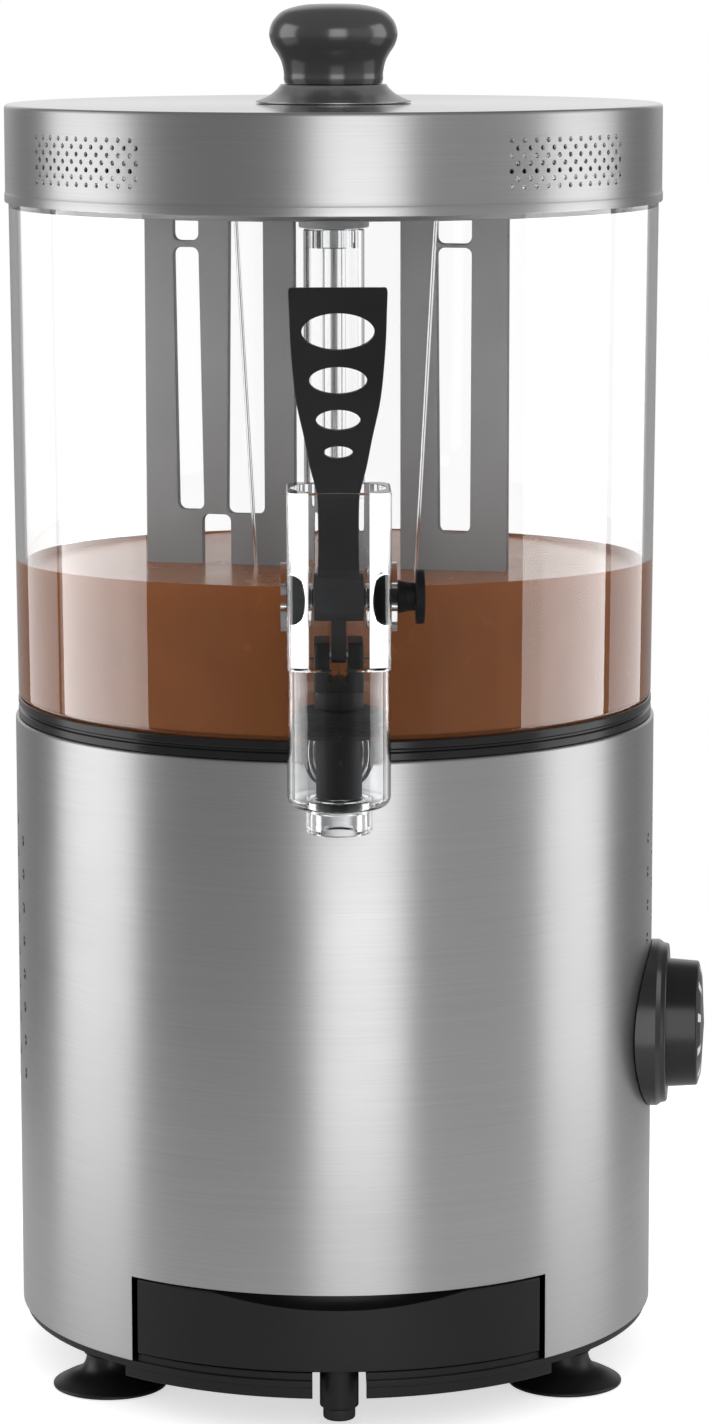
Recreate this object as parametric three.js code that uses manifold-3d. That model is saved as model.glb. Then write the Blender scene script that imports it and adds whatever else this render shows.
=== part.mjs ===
// Hot drink dispenser: a steel base that heats and stirs, a clear bowl with a lever tap, and a lid.
// Millimetres, +Z up. The origin is on the table, under the axis of the round body; the tap faces -Y.
import * as THREE from "three";
import { mergeVertices } from "three/addons/utils/BufferGeometryUtils.js";
import Module from "manifold-3d";

const wasm = await Module();
wasm.setup();

// Gaps that all the pieces share
const GAP = 0.3; // between faces that touch
const SLIDE_GAP = 0.5; // between pieces that slide or turn on each other
const OVERRUN = 3; // how far a cutting shape runs past what it cuts
const MERGE_DISTANCE = 0.0005; // points closer than this are one point

// Sides of the round shapes
const ROUND_SIDES = 48;
const INNER_SIDES = 32;
const KNOB_SIDES = 36;
const SMALL_SIDES = 20;
const PIN_SIDES = 12;
const VENT_SIDES = 6;
const FINE_VENT_SIDES = 4;

// Outer shell
const SHELL_RADIUS = 110;
const SHELL_WALL = 1;
const SHELL_BOTTOM = 20; // height of the steel edge above the table
const SHELL_TOP = 226.5;
const SHELL_ROLL = 0.7; // rolled top edge
const SHELL_RIM_WIDTH = 3.6; // from the outside to the inner edge of the rolled rim

// Air holes in both sides of the shell
const VENT_RADIUS = 1.9;
const VENT_ROWS = 8;
const VENT_COLUMNS = 4;
const VENT_PITCH = 11.6;
const VENT_LOW = 104.5; // height of the lowest row
const VENT_FIRST_DEG = 14; // first column, forward of the side
const VENT_STEP_DEG = 6;

// Bottom pan, its tray guides and the skirt under the tray
const PAN_THICKNESS = 2.7;
const PAN_INSET = 1.2; // the pan's edge behind the shell's outside
const UPSTAND_HEIGHT = 10;
const UPSTAND_WALL = 2.4;
const SKIRT_INSET = 2; // the skirt's face behind the shell's outside
const SKIRT_WALL = 4;
const SKIRT_OVERLAP = 4.5; // past the tray's front panel on each side
const SKIRT_DROP = 3.8; // the skirt's lower edge below the pan
const NOTCH_HALF_WIDTH = 8.9;
const GUIDE_WIDTH = 9;
const GUIDE_LIP_WIDTH = 3;
const GUIDE_LIP_HEIGHT = 10;
const GUIDE_END_GAP = 5; // the guides stop this far behind the shell

// Suction feet
const FOOT_PLACE = 19; // foot's centre behind the shell's outside
const FOOT_DEG = 31; // forward and back of the sides
const FOOT_RADIUS = 19.4;
const FOOT_HEIGHT = 11;
const FOOT_HOLLOW = 3;
const FOOT_RIM_WIDTH = 2.6;
const FOOT_STUD_RADIUS = 3;
const FOOT_BOSS_RADIUS = 9;
const FOOT_PROFILE_SHARES = [
  [1, 0],
  [1, 0.1],
  [0.8, 0.3],
  [0.5, 0.55],
  [0.41, 1],
];

// Drip tray and its grid
const TRAY_BOTTOM = 22.9;
const TRAY_HEIGHT = 22;
const TRAY_WALL = 2.2;
const TRAY_SIDE_INSET = 4.5; // box behind the panel's sides
const TRAY_BACK = 12; // from the body axis forward to the tray's back
const PANEL_SIDE_INSET = 43; // panel's side within the shell's outside
const PANEL_TOP = 48.7;
const PANEL_WALL = 3;
const PANEL_PROUD = 0.6;
const OPENING_SIDE_GAP = 2;
const PULL_END_INSET = 22; // finger pull's ends within the panel's sides
const PULL_DEPTH = 5;
const PULL_RECESS = 1.6;
const PULL_POINTS = 12;
const GRID_THICKNESS = 2;
const GRID_DEPTH = 4; // the grid's top below the tray's top
const GRID_SLOTS = 9;
const GRID_BAR_WIDTH = 4.7;
const GRID_MARGIN = 7;
const LEDGE_WIDTH = 3;
const SPOUT_RADIUS = 6.45;
const SPOUT_BORE_RADIUS = 4;
const SPOUT_SETBACK = 11; // from the shell's outside back to the spout's axis
const SPOUT_BOTTOM = 8.6;
const PLUG_TIP_RADIUS = 5.35;
const PLUG_TIP_LENGTH = 4;
const PLUG_STEM_LENGTH = 10;

// Bowl and its seat
const GASKET_HEIGHT = 6.5;
const GASKET_INSET = 1;
const BOWL_INSET = 1.1; // bowl's outside at its foot behind the shell's outside
const BOWL_FLARE = 1.3; // how much wider the bowl is at the top
const BOWL_WALL = 3;
const BOWL_DROP = 12.6; // part of the bowl that sits inside the gasket
const BOWL_FLOOR = 3;
const BOWL_WALL_HEIGHT = 168.7; // from the gasket up to the step under the lid
const BOWL_RIM_HEIGHT = 11.7;
const BOWL_RIM_INSET = 1.8;
const BOWL_RIM_WALL = 2.7;
const BOWL_STEP = 2.2;
const COLUMN_RADIUS = 10.4; // clear column round the drive shaft
const COLUMN_BORE_RADIUS = 8.6;
const COLUMN_DROP = 22; // column's top below the bowl's rim
const COLUMN_BUSH_HEIGHT = 6;
const SPIGOT_RADIUS = 9.5;
const SPIGOT_BORE_RADIUS = 6.5;
const SPIGOT_FLOOR_GAP = 1;
const SPIGOT_REACH = 5.5; // past the shell's outside

// Drink in the bowl
const DRINK_DEPTH = 58.7;

// Lid
const LID_WALL = 0.8;
const LID_PROUD = 1.1; // lid's outside past the bowl's widest radius
const LID_OVERLAP = 12.2;
const LID_HEIGHT = 32.6;
const LID_EDGE = 1.8;
const LID_HEM = 0.5;
const LID_HEM_HEIGHT = 3;
const LID_VENT_TURN_DEG = -2.5; // the vents sit a little off the front
const LID_SEAL_HEIGHT = 3;
const LID_SEAL_WIDTH = 5;
const LID_VENT_RADIUS = 0.85;
const LID_VENT_ROWS = 7;
const LID_VENT_COLUMNS = 11;
const LID_VENT_PITCH = 4.88; // between neighbours in one row
const LID_VENT_CENTRE_DROP = 16.7; // patch centre below the lid's top
const LID_VENT_AZIMUTH_DEG = 45.8;
const COLLAR_TOP_RADIUS = 17.8;
const COLLAR_RADIUS = 26.3;
const COLLAR_HEIGHT = 6;
const KNOB_RADIUS = 21.7;
const KNOB_HEIGHT = 26.6;
const KNOB_PROFILE_SHARES = [
  [0.775, 0],
  [0.775, 0.14],
  [0.81, 0.27],
  [0.87, 0.37],
  [0.955, 0.48],
  [1, 0.61],
  [0.975, 0.73],
  [0.9, 0.83],
  [0.76, 0.92],
  [0.5, 0.98],
];
const KNOB_SCREW_RADIUS = 2.5;
const KNOB_SCREW_HEAD_RADIUS = 5;
const KNOB_SCREW_HEAD_HEIGHT = 2.5;
const KNOB_SCREW_REACH = 12;

// Stirrer
const STIRRER_TURN_DEG = 14; // its left wing lies behind its right wing
const STIRRER_PLATE = 3.4;
const STIRRER_LIFT = 6.5; // plates' lower edge above the bowl's floor
const STIRRER_RISE = 12; // plates' top above the column
const HUB_RADIUS = 38;
const HUB_THICKNESS = 3.4;
const HUB_BOSS_RADIUS = 12;
const HUB_BOSS_RISE = 5;
const HUB_ARM_WIDTH = 14;
const LEFT_WING_INNER = 13.6;
const LEFT_WING_CLEARANCE = 36.3; // to the bowl's wall at the seat
const LEFT_BAR_SHARES = [0, 0.208, 0.43, 0.638, 0.806, 1]; // bar edges from the inner to the outer edge
const RIGHT_WING_INNER = 23.4;
const RIGHT_WING_CLEARANCE = 42.2;
const RIGHT_BAR_SHARES = [0, 0.343, 0.662, 1];
const LEFT_SLOT_HEIGHTS_SHARES = [0.372, 0.892];
const LEFT_INNER_SLOT_SHARES = [0.366, 0.972];
const RIGHT_SLOT_HEIGHTS_SHARES = [0.339, 0.897];
const TOP_WINDOW_SHARES = [0.905, 0.972];
const LOW_WINDOW_SHARES = [0.255, 0.35];
const LOW_WINDOW_WIDTH_SHARES = [0.43, 0.62];
const WIRE_RADIUS = 0.7;
const WIRE_TOP_OUT = 35.3;
const WIRE_BOTTOM_OUT = 25.6;
const WIRE_FORWARD = 4;
const RING_RADIUS = 31.5;
const RING_THICKNESS = 3;

// Drive
const SHAFT_RADIUS = 4;
const SHAFT_BOTTOM = 129.5;
const SHAFT_SQUARE_HALF = 2.8;
const SHAFT_SQUARE_LENGTH = 12;
const GEAR_MODULE = 0.9;
const GEAR_TEETH = 48;
const PINION_TEETH = 12;
const GEAR_THICKNESS = 6;
const GEAR_HUB_RADIUS = 8;
const GEAR_HUB_HEIGHT = 4;
const GEAR_CLEARANCE = 3.2; // under the gear
const ADDENDUM_SHARE = 0.89;
const DEDENDUM_SHARE = 1.22;
const TOOTH_ROOT_SHARE = 0.6;
const TOOTH_TIP_SHARE = 0.2;
const PINION_LENGTH = 8;
const MOTOR_SHAFT_RADIUS = 2;
const MOTOR_RADIUS = 24;
const MOTOR_HEIGHT = 46;
const MOTOR_BOSS_RADIUS = 8;
const MOTOR_BOSS_HEIGHT = 1.6;
const MOTOR_SHAFT_DEPTH = 20;
const GEARBOX_WALL = 2.5;
const GEARBOX_FLOOR = 4;
const GEARBOX_HEIGHT = 20;
const GEARBOX_COVER = 2.5;
const GEARBOX_CLEARANCE = 2;
const BUSH_RADIUS = 7;

// Deck, posts and water bath
const DECK_TOP = 126.5;
const DECK_THICKNESS = 2;
const DECK_INSET = 12; // behind the shell's outside
const POST_RADIUS = 4;
const POST_SHOULDER = 1.5;
const POST_TANK_GAP = 7;
const POST_INLET_GAP = 0.6; // between the rear post's shoulder and the inlet
const POST_FRONT_DEG = 20; // front posts, forward of the sides
const TANK_WALL = 1.2;
const TANK_DEPTH = 52;
const TANK_FLANGE_INSET = 6; // behind the shell's outside
const TANK_PIPE_RADIUS = 6.4;
const TANK_PIPE_WALL = 1.2;
const HEATER_INSET = 26; // from the tank's wall to the rod's axis
const HEATER_ROD_RADIUS = 4;
const HEATER_LEG_RADIUS = 3;
const HEATER_RAISE = 8; // rod axis above the tank floor
const HEATER_LEG_DROP = 12;
const HEATER_LEG_HALF_GAP = 9;
const CUTOUT_RADIUS = 10;
const CUTOUT_HEIGHT = 8;
const CUTOUT_PLACE = 45; // from the body axis
const CUTOUT_DEG = 42;
const BULB_RADIUS = 3;
const BULB_LENGTH = 50;
const BULB_PLACE = 38; // in front of the body axis

// Thermostat dial on the right side
const DIAL_AZIMUTH_DEG = 6.5; // forward of the side
const DIAL_HEIGHT = 118.2;
const BEZEL_RADIUS = 28.7;
const BEZEL_PROUD = 6; // past the shell's outside
const BEZEL_SKIRT = 8;
const BEZEL_CHAMFER = 1.2;
const BEZEL_RECESS = 1.5;
const DIAL_RADIUS = 22.3;
const DIAL_TIP_RADIUS = 21.3;
const DIAL_LENGTH = 11.5;
const DIAL_DOME = 2;
const DIAL_SHAFT_RADIUS = 3;
const DIAL_SHAFT_GRIP = 8;
const THERMOSTAT_DEPTH = 24;
const THERMOSTAT_HALF = 15;

// Switches and inlet at the back
const SWITCH_SPREAD_DEG = 10;
const SWITCH_HEIGHT = 92;
const SWITCH_HALF_WIDTH = 6.5;
const SWITCH_HALF_HEIGHT = 9.4;
const SWITCH_FRAME_WALL = 1.8;
const SWITCH_FLANGE = 3;
const SWITCH_FLANGE_THICKNESS = 1.8;
const SWITCH_DEPTH = 14;
const ROCKER_HALF_HEIGHT = 8.2;
const ROCKER_BACK = 5;
const ROCKER_EDGE = 4.2;
const ROCKER_MIDDLE = 2.6;
const ROCKER_TILT_DEG = 9;
const INLET_HEIGHT = 56;
const INLET_HALF_WIDTH = 13.5;
const INLET_HALF_HEIGHT = 10;
const INLET_WALL = 2;
const INLET_FLANGE = 5;
const INLET_FLANGE_THICKNESS = 2;
const INLET_DEPTH = 16;
const BLADE_SPACING = 7;
const BLADE_HALF_WIDTH = 1;
const BLADE_HALF_HEIGHT = 2;
const BLADE_SHARE = 0.7; // how much of the inlet's depth the blades fill
const BLOCK_LENGTH = 40;
const BLOCK_WIDTH = 16;
const BLOCK_HEIGHT = 14;
const BLOCK_INSET = 48; // block's middle behind the shell's outside

// Tap
const TAP_STAND_OFF = 22; // tap axis in front of the shell's outside
const TAP_RADIUS = 16.5;
const TAP_BORE_RADIUS = 15.2;
const TAP_DROP = 23.2; // nozzle mouth below the spigot's axis
const NOZZLE_RADIUS = 10.6;
const NOZZLE_LENGTH = 8.4;
const NOZZLE_MOUTH_RADIUS = 6;
const NOZZLE_MOUTH_LENGTH = 6.5;
const VALVE_BORE_RADIUS = 7.6;
const TAP_FLOOR = 3.2;
const TAP_CORNER = 3.9; // rounding at the bottom of the body
const TAP_ROUND_HEIGHT = 53.7; // from the nozzle mouth to the square part
const TAP_HEIGHT = 110;
const TAP_SQUARE_CORNER = 5;
const TAP_WINDOW_HALF = 9;
const TAP_WINDOW_BOTTOM_RISE = 68;
const TAP_BRIDGE = 2.8; // bar across the front of the open top
const TAP_EAR_RADIUS = 11;
const TAP_EAR_PROUD = 1.8;
const TAP_BOSS_RADIUS = 12.5;
const TAP_BOSS_GAP = 2.4; // boss end in front of the shell
const TAP_BOSS_SOCKET = 3.6;
const TAP_SEAL_RADIUS = 12.2;
const PIVOT_RISE = 75.4;
const PIVOT_RADIUS = 2.6;
const PIVOT_NECK_RADIUS = 5.4;
const PIVOT_NECK_TIP_RADIUS = 4.4;
const PIVOT_NECK_LENGTH = 5.6;
const PIVOT_HEAD_RADIUS = 8.6;
const PIVOT_HEAD_THICKNESS = 3;
const SPACER_RADIUS = 9.5;

// Tap lever, measured from its pivot
const LEVER_RISE = 96.8;
const LEVER_HALF_WIDTH = 15.6;
const LEVER_THICKNESS = 5.5;
const LEVER_HUB_RADIUS = 7.6;
const LEVER_HUB_HALF = 8;
const LEVER_SIDE_SHARES = [
  [-0.75, 0],
  [0.22, 0.29],
  [0.22, 0.8],
  [0.45, 0.92],
  [0.8, 1],
  [1.5, 1],
  [1.3, 0.9],
  [1.2, 0.8],
  [1.2, 0.29],
  [0.9, 0],
];
const LEVER_FRONT_SHARES = [
  [0.51, 0],
  [0.42, 0.1],
  [0.42, 0.3],
  [0.475, 0.36],
  [0.57, 0.42],
  [0.69, 0.518],
  [0.86, 0.648],
  [0.955, 0.811],
  [0.985, 0.93],
  [1, 0.99],
  [0.98, 1],
];
const LEVER_HOLE_SHARES = [
  [0.872, 0.747, 0.061],
  [0.714, 0.596, 0.0444],
  [0.585, 0.449, 0.0341],
  [0.48, 0.295, 0.0207],
];
const TONGUE_HALF_WIDTH = 2.5;
const TONGUE_RADIUS = 3;
const CAM_ARM = 18;
const CAM_PIN_RADIUS = 1.7;
const CAM_PIN_HALF = 7.2;

// Tap piston
const PISTON_LIFT = 5;
const LEVER_SWING_DEG = 22;
const PISTON_PLUG_RADIUS = 7.3;
const PISTON_PLUG_ENTRY = 2.2;
const PISTON_SEAL_RADIUS = 14.9;
const PISTON_SEAL_HEIGHT = 8.3;
const PISTON_SEAL_CORNER = 1.6;
const PISTON_PLUG_LENGTH = 21.9;
const PISTON_CORE_RADIUS = 5;
const PISTON_NECK_LENGTH = 6;
const PISTON_NECK_RADIUS = 7.8;
const HEAD_HALF_WIDTH = 7.8;
const HEAD_FRONT = 6.5;
const HEAD_REAR = 11;
const HEAD_TOP_COVER = 1.8; // above the cam slot
const CAM_SLOT_GAP = 0.7;
const HEAD_FLOOR = 3.5;

// Colours and surfaces
const steel = new THREE.MeshStandardMaterial({ color: 0xb9bbbd, roughness: 0.32, metalness: 1 });
const polishedSteel = new THREE.MeshStandardMaterial({ color: 0xc9cbcd, roughness: 0.18, metalness: 1 });
const zinc = new THREE.MeshStandardMaterial({ color: 0x9a9da0, roughness: 0.45, metalness: 0.9 });
const blackPlastic = new THREE.MeshStandardMaterial({ color: 0x2b2b2d, roughness: 0.5, metalness: 0 });
const greyPlastic = new THREE.MeshStandardMaterial({ color: 0x66676a, roughness: 0.5, metalness: 0 });
const whitePlastic = new THREE.MeshStandardMaterial({ color: 0xe6e2d8, roughness: 0.5, metalness: 0 });
const brass = new THREE.MeshStandardMaterial({ color: 0xb08d4a, roughness: 0.35, metalness: 1 });
const rubber = new THREE.MeshStandardMaterial({ color: 0x1c1c1d, roughness: 0.8, metalness: 0 });
const cocoa = new THREE.MeshStandardMaterial({ color: 0x70421f, roughness: 0.35, metalness: 0 });
const clear = new THREE.MeshStandardMaterial({
  color: 0xf3f6f7,
  roughness: 0.08,
  metalness: 0,
  transparent: true,
  opacity: 0.25,
});

const toRadians = THREE.MathUtils.degToRad;

// Turns a closed three.js geometry into a solid whose faces point out.
function solid(geometry) {
  const bare = geometry.index ? geometry.toNonIndexed() : geometry.clone();
  for (const name of Object.keys(bare.attributes)) {
    if (name !== "position") bare.deleteAttribute(name);
  }
  const merged = mergeVertices(bare, MERGE_DISTANCE);
  const corners = merged.index.array;
  const kept = [];
  for (let i = 0; i < corners.length; i += 3) {
    const [a, b, c] = corners.slice(i, i + 3);
    if (a !== b && b !== c && c !== a) kept.push(a, b, c);
  }
  const build = (order) =>
    new wasm.Manifold(
      new wasm.Mesh({
        numProp: 3,
        vertProperties: merged.attributes.position.array,
        triVerts: new Uint32Array(order),
      }),
    );
  const made = build(kept);
  return made.volume() < 0 ? build(kept.reverse()) : made;
}

// Joins a list of solids into one.
const joined = (solids) => solids.reduce((sum, next) => sum.add(next));

// A closed shape turned about Z, from a list of [radius, height].
function turned(profile, sides) {
  const points = profile.map(([radius, height]) => new THREE.Vector2(radius, height));
  if (points[0].x > 0 || points.at(-1).x > 0) points.push(points[0].clone());
  return new THREE.LatheGeometry(points, sides).rotateX(Math.PI / 2);
}

const disc = (radius, low, high, sides) =>
  turned([[0, low], [radius, low], [radius, high], [0, high]], sides);

const ring = (inner, outer, low, high, sides) =>
  turned([[inner, low], [outer, low], [outer, high], [inner, high]], sides);

const block = ([x0, x1], [y0, y1], [z0, z1]) =>
  new THREE.BoxGeometry(x1 - x0, y1 - y0, z1 - z0).translate((x0 + x1) / 2, (y0 + y1) / 2, (z0 + z1) / 2);

// How an outline drawn in two directions lies when its body runs along X, Y or Z.
const axisOf = (x, y, z) => new THREE.Vector3(x, y, z);
const FACINGS = {
  x: new THREE.Matrix4().makeBasis(axisOf(0, 1, 0), axisOf(0, 0, 1), axisOf(1, 0, 0)),
  y: new THREE.Matrix4().makeBasis(axisOf(1, 0, 0), axisOf(0, 0, 1), axisOf(0, -1, 0)),
  z: new THREE.Matrix4(),
};

// An outline pushed from low to high along one axis. Along X it is drawn in Y and Z, along Y in X and Z.
function pushed(outline, low, high, along) {
  const shape = new THREE.Shape(outline.map(([u, v]) => new THREE.Vector2(u, v)));
  const made = new THREE.ExtrudeGeometry(shape, { depth: high - low, bevelEnabled: false });
  made.applyMatrix4(FACINGS[along]);
  if (along === "x") return made.translate(low, 0, 0);
  if (along === "y") return made.translate(0, high, 0);
  return made.translate(0, 0, low);
}

// The points of an ellipse.
function oval(halfWidth, halfHeight, sides, [u, v] = [0, 0]) {
  return Array.from({ length: sides }, (_, i) => {
    const turn = (2 * Math.PI * i) / sides;
    return [u + halfWidth * Math.cos(turn), v + halfHeight * Math.sin(turn)];
  });
}

const rod = (radius, low, high, along, sides, centre) =>
  pushed(oval(radius, radius, sides, centre), low, high, along);

// Turns a geometry about Z, so that what was drawn along +X points at the given angle.
const aimed = (geometry, degrees) => geometry.rotateZ(toRadians(degrees));

// Mirrors an outline's right half, given from bottom to top, to its left.
const mirrored = (half) => [...half, ...half.map(([u, v]) => [-u, v]).reverse()];

const machine = new THREE.Group();

// Adds a finished solid to a group as a named mesh.
function place(group, name, made, material) {
  const { vertProperties, triVerts } = made.getMesh();
  const geometry = new THREE.BufferGeometry();
  geometry.setAttribute("position", new THREE.BufferAttribute(vertProperties, 3));
  geometry.setIndex(new THREE.BufferAttribute(triVerts, 1));
  geometry.computeVertexNormals();
  const mesh = new THREE.Mesh(geometry, material);
  mesh.name = name;
  group.add(mesh);
  return mesh;
}

// Heights and radii that several pieces share
const panTop = SHELL_BOTTOM - GAP;
const panBottom = panTop - PAN_THICKNESS;
const shellInner = SHELL_RADIUS - SHELL_WALL;
const rimInner = SHELL_RADIUS - SHELL_RIM_WIDTH;
const panelHalf = SHELL_RADIUS - PANEL_SIDE_INSET;
const trayHalf = panelHalf - TRAY_SIDE_INSET;
const skirtHalf = panelHalf + SKIRT_OVERLAP;
const openingHalf = panelHalf + OPENING_SIDE_GAP;
const gasketBottom = SHELL_TOP + GAP;
const gasketTop = gasketBottom + GASKET_HEIGHT;
const shoulder = gasketTop + GAP;
const bowlBottom = shoulder - BOWL_DROP;
const bowlFloor = bowlBottom + BOWL_FLOOR;
const bowlSeatRadius = rimInner - SLIDE_GAP;
const bowlFootRadius = SHELL_RADIUS - BOWL_INSET;
const bowlTopRadius = bowlFootRadius + BOWL_FLARE;
const leftWingOuter = bowlSeatRadius - BOWL_WALL - LEFT_WING_CLEARANCE;
const rightWingOuter = bowlSeatRadius - BOWL_WALL - RIGHT_WING_CLEARANCE;
const bowlStep = shoulder + BOWL_WALL_HEIGHT;
const bowlTop = bowlStep + BOWL_RIM_HEIGHT;
const columnTop = bowlTop - COLUMN_DROP;
const stirrerTop = columnTop + STIRRER_RISE;
const stirrerBottom = bowlFloor + STIRRER_LIFT;
const bowlRimRadius = bowlTopRadius - BOWL_RIM_INSET;
const spigotHeight = bowlFloor + SPIGOT_FLOOR_GAP + SPIGOT_BORE_RADIUS;
const lidRadius = bowlTopRadius + LID_PROUD;
const lidBottom = bowlTop - LID_OVERLAP;
const lidTop = lidBottom + LID_HEIGHT;
const tankTop = bowlBottom - GAP;
const tankFloor = tankTop - TANK_DEPTH;
const deckBottom = DECK_TOP - DECK_THICKNESS;
const postPlace = SHELL_RADIUS + GAP - INLET_DEPTH - POST_INLET_GAP - POST_SHOULDER - POST_RADIUS;
const tankRadius = postPlace - POST_RADIUS - POST_TANK_GAP - TANK_WALL;
const tankFlangeRadius = SHELL_RADIUS - TANK_FLANGE_INSET;
const deckRadius = SHELL_RADIUS - DECK_INSET;
const heaterRadius = tankRadius - HEATER_INSET;
const gearHeight = DECK_TOP + GAP + GEARBOX_FLOOR + GEAR_CLEARANCE;
const gearPitchRadius = (GEAR_MODULE * GEAR_TEETH) / 2;
const pinionPitchRadius = (GEAR_MODULE * PINION_TEETH) / 2;
const motorPlace = gearPitchRadius + pinionPitchRadius;
const tapPlace = SHELL_RADIUS + TAP_STAND_OFF;
const nozzleMouth = spigotHeight - TAP_DROP;
const tapFloorTop = nozzleMouth + NOZZLE_LENGTH + TAP_FLOOR;
const tapTop = nozzleMouth + TAP_HEIGHT;
const pivotHeight = nozzleMouth + PIVOT_RISE;

// Where the three posts stand, as angles from +X.
const POST_ANGLES = { rear: 90, left: 180 + POST_FRONT_DEG, right: -POST_FRONT_DEG };
const postSpot = (degrees) => [
  postPlace * Math.cos(toRadians(degrees)),
  postPlace * Math.sin(toRadians(degrees)),
];

// Base

function chassisPan() {
  const lipRadius = SHELL_RADIUS - PAN_INSET;
  const upstandRadius = shellInner - SLIDE_GAP;
  const skirtRadius = SHELL_RADIUS - SKIRT_INSET;
  const skirtTop = TRAY_BOTTOM - SLIDE_GAP;
  const frontHalf = openingHalf + SLIDE_GAP;
  const floor = solid(disc(lipRadius, panBottom, panTop, ROUND_SIDES));
  const upstand = solid(
    ring(upstandRadius - UPSTAND_WALL, upstandRadius, panBottom, panTop + UPSTAND_HEIGHT, ROUND_SIDES),
  ).subtract(solid(block([-frontHalf, frontHalf], [-SHELL_RADIUS, 0], [panTop, SHELL_TOP])));
  const skirt = solid(
    ring(skirtRadius - SKIRT_WALL, skirtRadius, panBottom - SKIRT_DROP, skirtTop, ROUND_SIDES),
  ).intersect(
    solid(block([-skirtHalf, skirtHalf], [-SHELL_RADIUS, 0], [0, skirtTop + OVERRUN])),
  );
  // Above the pan the skirt is cut back to the width of the shell's opening.
  const ears = [-1, 1].map((side) =>
    solid(
      block(
        [Math.min(side * panelHalf, side * SHELL_RADIUS), Math.max(side * panelHalf, side * SHELL_RADIUS)],
        [-SHELL_RADIUS, 0],
        [panTop, skirtTop + OVERRUN],
      ),
    ),
  );
  const skirtCut = skirt.subtract(joined(ears));
  const guides = [-1, 1].map((side) => trayGuide(side));
  const bosses = footSpots().map(([x, y]) =>
    solid(disc(FOOT_BOSS_RADIUS, FOOT_HEIGHT + GAP, panTop, SMALL_SIDES).translate(x, y, 0)),
  );
  const studHoles = footSpots().map(([x, y]) =>
    solid(disc(FOOT_STUD_RADIUS + GAP, 0, SHELL_TOP, PIN_SIDES).translate(x, y, 0)),
  );
  const spoutBack = -(SHELL_RADIUS - SPOUT_SETBACK - NOTCH_HALF_WIDTH);
  const slot = solid(
    block([-NOTCH_HALF_WIDTH, NOTCH_HALF_WIDTH], [-SHELL_RADIUS - OVERRUN, spoutBack], [0, SHELL_TOP]),
  );
  return joined([floor, upstand, skirtCut, ...guides, ...bosses]).subtract(joined([...studHoles, slot]));
}

// One of the two strips that the tray slides on, with a lip along its outer side.
function trayGuide(side) {
  const lipInner = trayHalf + SLIDE_GAP;
  const outer = lipInner + GUIDE_LIP_WIDTH;
  const front = -(Math.sqrt(shellInner ** 2 - outer ** 2) - GUIDE_END_GAP);
  const across = (a, b) => [Math.min(side * a, side * b), Math.max(side * a, side * b)];
  const strip = block(across(outer - GUIDE_WIDTH, outer), [front, -TRAY_BACK], [panBottom, TRAY_BOTTOM - GAP]);
  const lip = block(
    across(lipInner, outer),
    [front, -TRAY_BACK],
    [panBottom, TRAY_BOTTOM + GUIDE_LIP_HEIGHT],
  );
  return solid(strip).add(solid(lip));
}

// Centres of the four feet, front left first.
function footSpots() {
  const x = (SHELL_RADIUS - FOOT_PLACE) * Math.cos(toRadians(FOOT_DEG));
  const y = (SHELL_RADIUS - FOOT_PLACE) * Math.sin(toRadians(FOOT_DEG));
  return [[-x, -y], [x, -y], [-x, y], [x, y]];
}

function suctionFoot() {
  const outside = FOOT_PROFILE_SHARES.map(([r, z]) => [r * FOOT_RADIUS, z * FOOT_HEIGHT]);
  const profile = [
    [0, FOOT_HOLLOW],
    [FOOT_RADIUS / 2, FOOT_HOLLOW],
    [FOOT_RADIUS - FOOT_RIM_WIDTH, 0],
    ...outside,
    [FOOT_STUD_RADIUS, FOOT_HEIGHT],
    [FOOT_STUD_RADIUS, panTop],
    [0, panTop],
  ];
  return solid(turned(profile, SMALL_SIDES));
}

function outerShell() {
  const top = SHELL_TOP;
  const body = solid(
    turned(
      [
        [shellInner, SHELL_BOTTOM],
        [SHELL_RADIUS, SHELL_BOTTOM],
        [SHELL_RADIUS, top - SHELL_ROLL],
        [SHELL_RADIUS - SHELL_ROLL, top],
        [rimInner, top],
        [rimInner, top - SHELL_WALL],
        [shellInner, top - SHELL_WALL],
      ],
      ROUND_SIDES,
    ),
  );
  const trayOpening = block(
    [-openingHalf, openingHalf],
    [-SHELL_RADIUS - OVERRUN, 0],
    [0, PANEL_TOP + SLIDE_GAP],
  );
  return body.subtract(
    joined([solid(trayOpening), spigotSlot(), ...ventHoles(), ...shellCutouts()]),
  );
}

// The open-topped slot that lets the bowl's spigot drop into the base.
function spigotSlot() {
  const half = SPIGOT_RADIUS + SLIDE_GAP;
  const front = -SHELL_RADIUS - OVERRUN;
  const round = rod(half, front, 0, "y", SMALL_SIDES, [0, spigotHeight]);
  const above = block([-half, half], [front, 0], [spigotHeight, gasketTop + OVERRUN]);
  return solid(round).add(solid(above));
}

// Staggered air holes on the left and on the right.
function ventHoles() {
  const holes = [];
  for (let column = 0; column < VENT_COLUMNS; column++) {
    const lift = column % 2 ? VENT_PITCH / 2 : 0;
    for (let row = 0; row < VENT_ROWS; row++) {
      const height = VENT_LOW + row * VENT_PITCH + lift;
      const degrees = VENT_FIRST_DEG - column * VENT_STEP_DEG;
      for (const angle of [-degrees, 180 + degrees]) {
        const behindDial =
          angle === -degrees && height < DIAL_HEIGHT + BEZEL_RADIUS + VENT_RADIUS + SLIDE_GAP;
        if (behindDial) continue;
        const hole = rod(VENT_RADIUS, shellInner - OVERRUN, SHELL_RADIUS + OVERRUN, "x", VENT_SIDES, [0, height]);
        holes.push(solid(aimed(hole, angle)));
      }
    }
  }
  return holes;
}

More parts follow.
